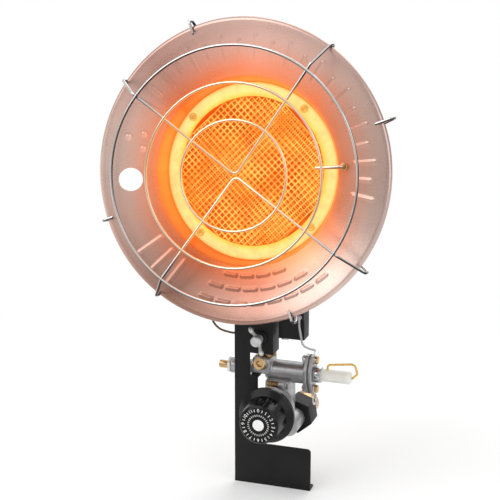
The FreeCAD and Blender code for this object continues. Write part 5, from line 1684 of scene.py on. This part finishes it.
@dataclass
class WingNut:
    """A cast wing nut: a closed round hub with two curved, lobed wings."""

    shop: Workshop
    x: float = -24.3 * MM
    seat: float = -52.4 * MM
    z: float = 75.1 * MM
    hub: float = 4.6 * MM
    neck: float = 3.7 * MM
    front: float = -62.9 * MM
    turn: float = 115.0
    voxel: float = 0.32 * MM
    steps: int = 4
    arm: tuple[tuple[float, float, float, float], ...] = (
        (3.6, -4.0, 1.7, 1.5), (5.0, -4.8, 1.6, 1.35), (6.4, -6.0, 1.5, 1.3), (7.8, -7.2, 1.6, 1.4),
        (9.1, -8.0, 2.1, 1.7), (10.2, -8.3, 2.6, 2.0), (11.0, -8.4, 2.3, 1.9),
    )

    def build(self) -> None:
        """Builds the nut as one casting."""
        depth = self.front - self.seat
        rounding = ((0.0, 1.2 * MM), (-0.35 * MM, 0.35 * MM), (-1.2 * MM, 0.0))
        edge = [(self.hub + radius, depth + along) for radius, along in rounding]
        profile = [(0.0, 0.0), (self.neck, 0.0), (self.neck, -5.4 * MM), (self.hub, -6.4 * MM)]
        hub = self.shop.lathe(profile + edge + [(0.0, depth)], 64, closed=False)
        meshes = [hub]
        for half in (0.0, 180.0):
            angle = math.radians(self.turn + half)
            across = Vector((math.cos(angle), 0.0, math.sin(angle)))
            for first, second in zip(self.arm, self.arm[1:]):
                for step in range(self.steps):
                    share = step / self.steps
                    reach, along, wide, thick = (a + (b - a) * share for a, b in zip(first, second))
                    meshes.append(self.ball(across * reach * MM + Vector((0.0, along * MM, 0.0)),
                                            wide * MM, thick * MM, angle))
        mesh = self.shop.fused(self.shop.join(meshes), self.voxel, 4)
        mesh.transform(Matrix.Translation((self.x, self.seat, self.z)))
        self.shop.piece("wing_nut_cast", mesh, self.shop.finishes.wing, Body.WING_NUT, "plated_steel",
                        ["wing_nut"])

    def ball(self, place: Vector, wide: float, thick: float, angle: float) -> bpy.types.Mesh:
        """One ellipsoid of a wing, before the wings are fused.

        Args:
            place: Its middle, from the nut's seat.
            wide: Half its size along the wing and along the axis.
            thick: Half its size across the wing.
            angle: The wing's turn, in radians.

        Returns:
            Its mesh.
        """
        shape = bmesh.new()
        bmesh.ops.create_icosphere(shape, subdivisions=2, radius=1.0)
        mesh = self.shop.finished(shape, "ball")
        turned = Matrix.Rotation(-angle, 4, "Y")
        mesh.transform(Matrix.Translation(place) @ turned @ Matrix.Diagonal((wide, wide, thick, 1.0)))
        return mesh


@dataclass
class Studio:
    """The floor, the lights and the camera."""

    eye: tuple[float, float, float] = (279.52 * MM, -983.05 * MM, 408.04 * MM)
    aim: tuple[float, float, float] = (-23.7 * MM, -78.0 * MM, 157.1 * MM)
    lens: float = 90.0
    sensor: float = 36.0
    lamps: tuple[tuple[str, tuple[float, float, float], float, float], ...] = (
        ("key", (-1.2, -1.3, 1.7), 2.0, 22.0),
        ("fill", (1.5, -0.9, 0.8), 1.4, 8.0),
        ("back", (0.2, 1.4, 1.3), 1.5, 11.0),
    )
    lamp_aim: tuple[float, float, float] = (-0.02, -0.04, 0.17)
    floor_half: float = 30.0
    floor_fade: tuple[float, float] = (0.16, 0.55)

    def build(self) -> None:
        """Sets up floor, world, lamps, camera and view."""
        scene = bpy.context.scene
        scene.view_settings.view_transform = "Standard"
        self.build_floor()
        self.build_world()
        for name, place, size, watts in self.lamps:
            self.build_lamp(name, Vector(place), size, watts)
        camera = bpy.data.cameras.new("photo_camera")
        camera.lens = self.lens
        camera.sensor_width = self.sensor
        camera.sensor_fit = "HORIZONTAL"
        camera.clip_start = 0.01
        holder = bpy.data.objects.new("photo_camera", camera)
        scene.collection.objects.link(holder)
        self.look(holder, Vector(self.eye), Vector(self.aim))
        scene.camera = holder

    def look(self, thing: bpy.types.Object, place: Vector, aim: Vector) -> None:
        """Points a camera or lamp at a place.

        Args:
            thing: The camera or lamp.
            place: Where it stands.
            aim: What it looks at.
        """
        thing.location = place
        thing.rotation_euler = (aim - place).to_track_quat("-Z", "Y").to_euler()

    def build_lamp(self, name: str, place: Vector, size: float, watts: float) -> None:
        """Adds one soft square lamp.

        Args:
            name: The lamp's name.
            place: Where it stands.
            size: Its side.
            watts: Its power.
        """
        data = bpy.data.lights.new(name, "AREA")
        data.shape = "SQUARE"
        data.size = size
        data.energy = watts
        lamp = bpy.data.objects.new(name, data)
        bpy.context.scene.collection.objects.link(lamp)
        self.look(lamp, place, Vector(self.lamp_aim))

    def build_floor(self) -> None:
        """A wide pale floor under the heater's foot, which keeps its shadow."""
        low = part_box("bracket")[0].z
        mesh = bpy.data.meshes.new("floor")
        half = self.floor_half
        corners = [(-half, -half, low), (half, -half, low), (half, half, low), (-half, half, low)]
        mesh.from_pydata(corners, [], [(0, 1, 2, 3)])
        material = bpy.data.materials.new("pale_floor")
        material.use_nodes = True
        shader = material.node_tree.nodes["Principled BSDF"]
        shader.inputs["Base Color"].default_value = (0.93, 0.93, 0.93, 1.0)
        shader.inputs["Roughness"].default_value = 0.9
        shader.inputs["Specular IOR Level"].default_value = 0.0
        graph = NodeGraph(material.node_tree)
        place = graph.add("ShaderNodeTexCoord").outputs["Object"]
        reach = graph.add("ShaderNodeVectorMath", {0: place}, operation="LENGTH").outputs[1]
        far = graph.remap(reach, *self.floor_fade, 0.0, 1.0)
        path = graph.add("ShaderNodeLightPath").outputs
        seen = graph.calc("MAXIMUM", path["Is Camera Ray"], path["Is Glossy Ray"])
        glow = graph.add("ShaderNodeEmission", {"Color": (1.0, 1.0, 1.0, 1.0), "Strength": 1.0})
        mixed = graph.add("ShaderNodeMixShader", {0: graph.calc("MULTIPLY", far, seen),
                                                  1: shader.outputs[0], 2: glow.outputs[0]})
        graph.tree.links.new(mixed.outputs[0], material.node_tree.nodes["Material Output"].inputs[0])
        mesh.materials.append(material)
        floor = bpy.data.objects.new("floor", mesh)
        bpy.context.scene.collection.objects.link(floor)

    def build_world(self) -> None:
        """White to the camera, and a soft sky that is brighter above for all else."""
        world = bpy.data.worlds.new("studio")
        bpy.context.scene.world = world
        world.use_nodes = True
        graph = NodeGraph(world.node_tree)
        sky = world.node_tree.nodes["Background"]
        out = world.node_tree.nodes["World Output"]
        direction = graph.add("ShaderNodeTexCoord").outputs["Generated"]
        up = graph.add("ShaderNodeSeparateXYZ", {0: direction}).outputs[2]
        tone = graph.remap(up, -0.3, 0.9, 0.55, 0.95)
        graph.tree.links.new(tone, sky.inputs["Color"])
        sky.inputs["Strength"].default_value = 0.85
        white = graph.add("ShaderNodeBackground", {"Color": (1.0, 1.0, 1.0, 1.0), "Strength": 1.0})
        path = graph.add("ShaderNodeLightPath").outputs
        seen = graph.calc("MAXIMUM", path["Is Camera Ray"], path["Is Transmission Ray"])
        mixed = graph.add("ShaderNodeMixShader", {0: seen, 1: sky.outputs[0], 2: white.outputs[0]})
        graph.tree.links.new(mixed.outputs[0], out.inputs["Surface"])


def main() -> None:
    """Builds the whole scene in order."""
    logging.basicConfig(level=logging.INFO, format="%(message)s")
    finishes = Finishes()
    shop = Workshop(finishes)
    trees = GeometryTrees()
    Studio().build()
    Dish(shop).build()
    Burner(shop, trees).build()
    Guard(shop, trees).build()
    Knob(shop, trees).build()
    WingNut(shop).build()
    Hardware(shop).build()


if __name__ == "__main__":
    main()
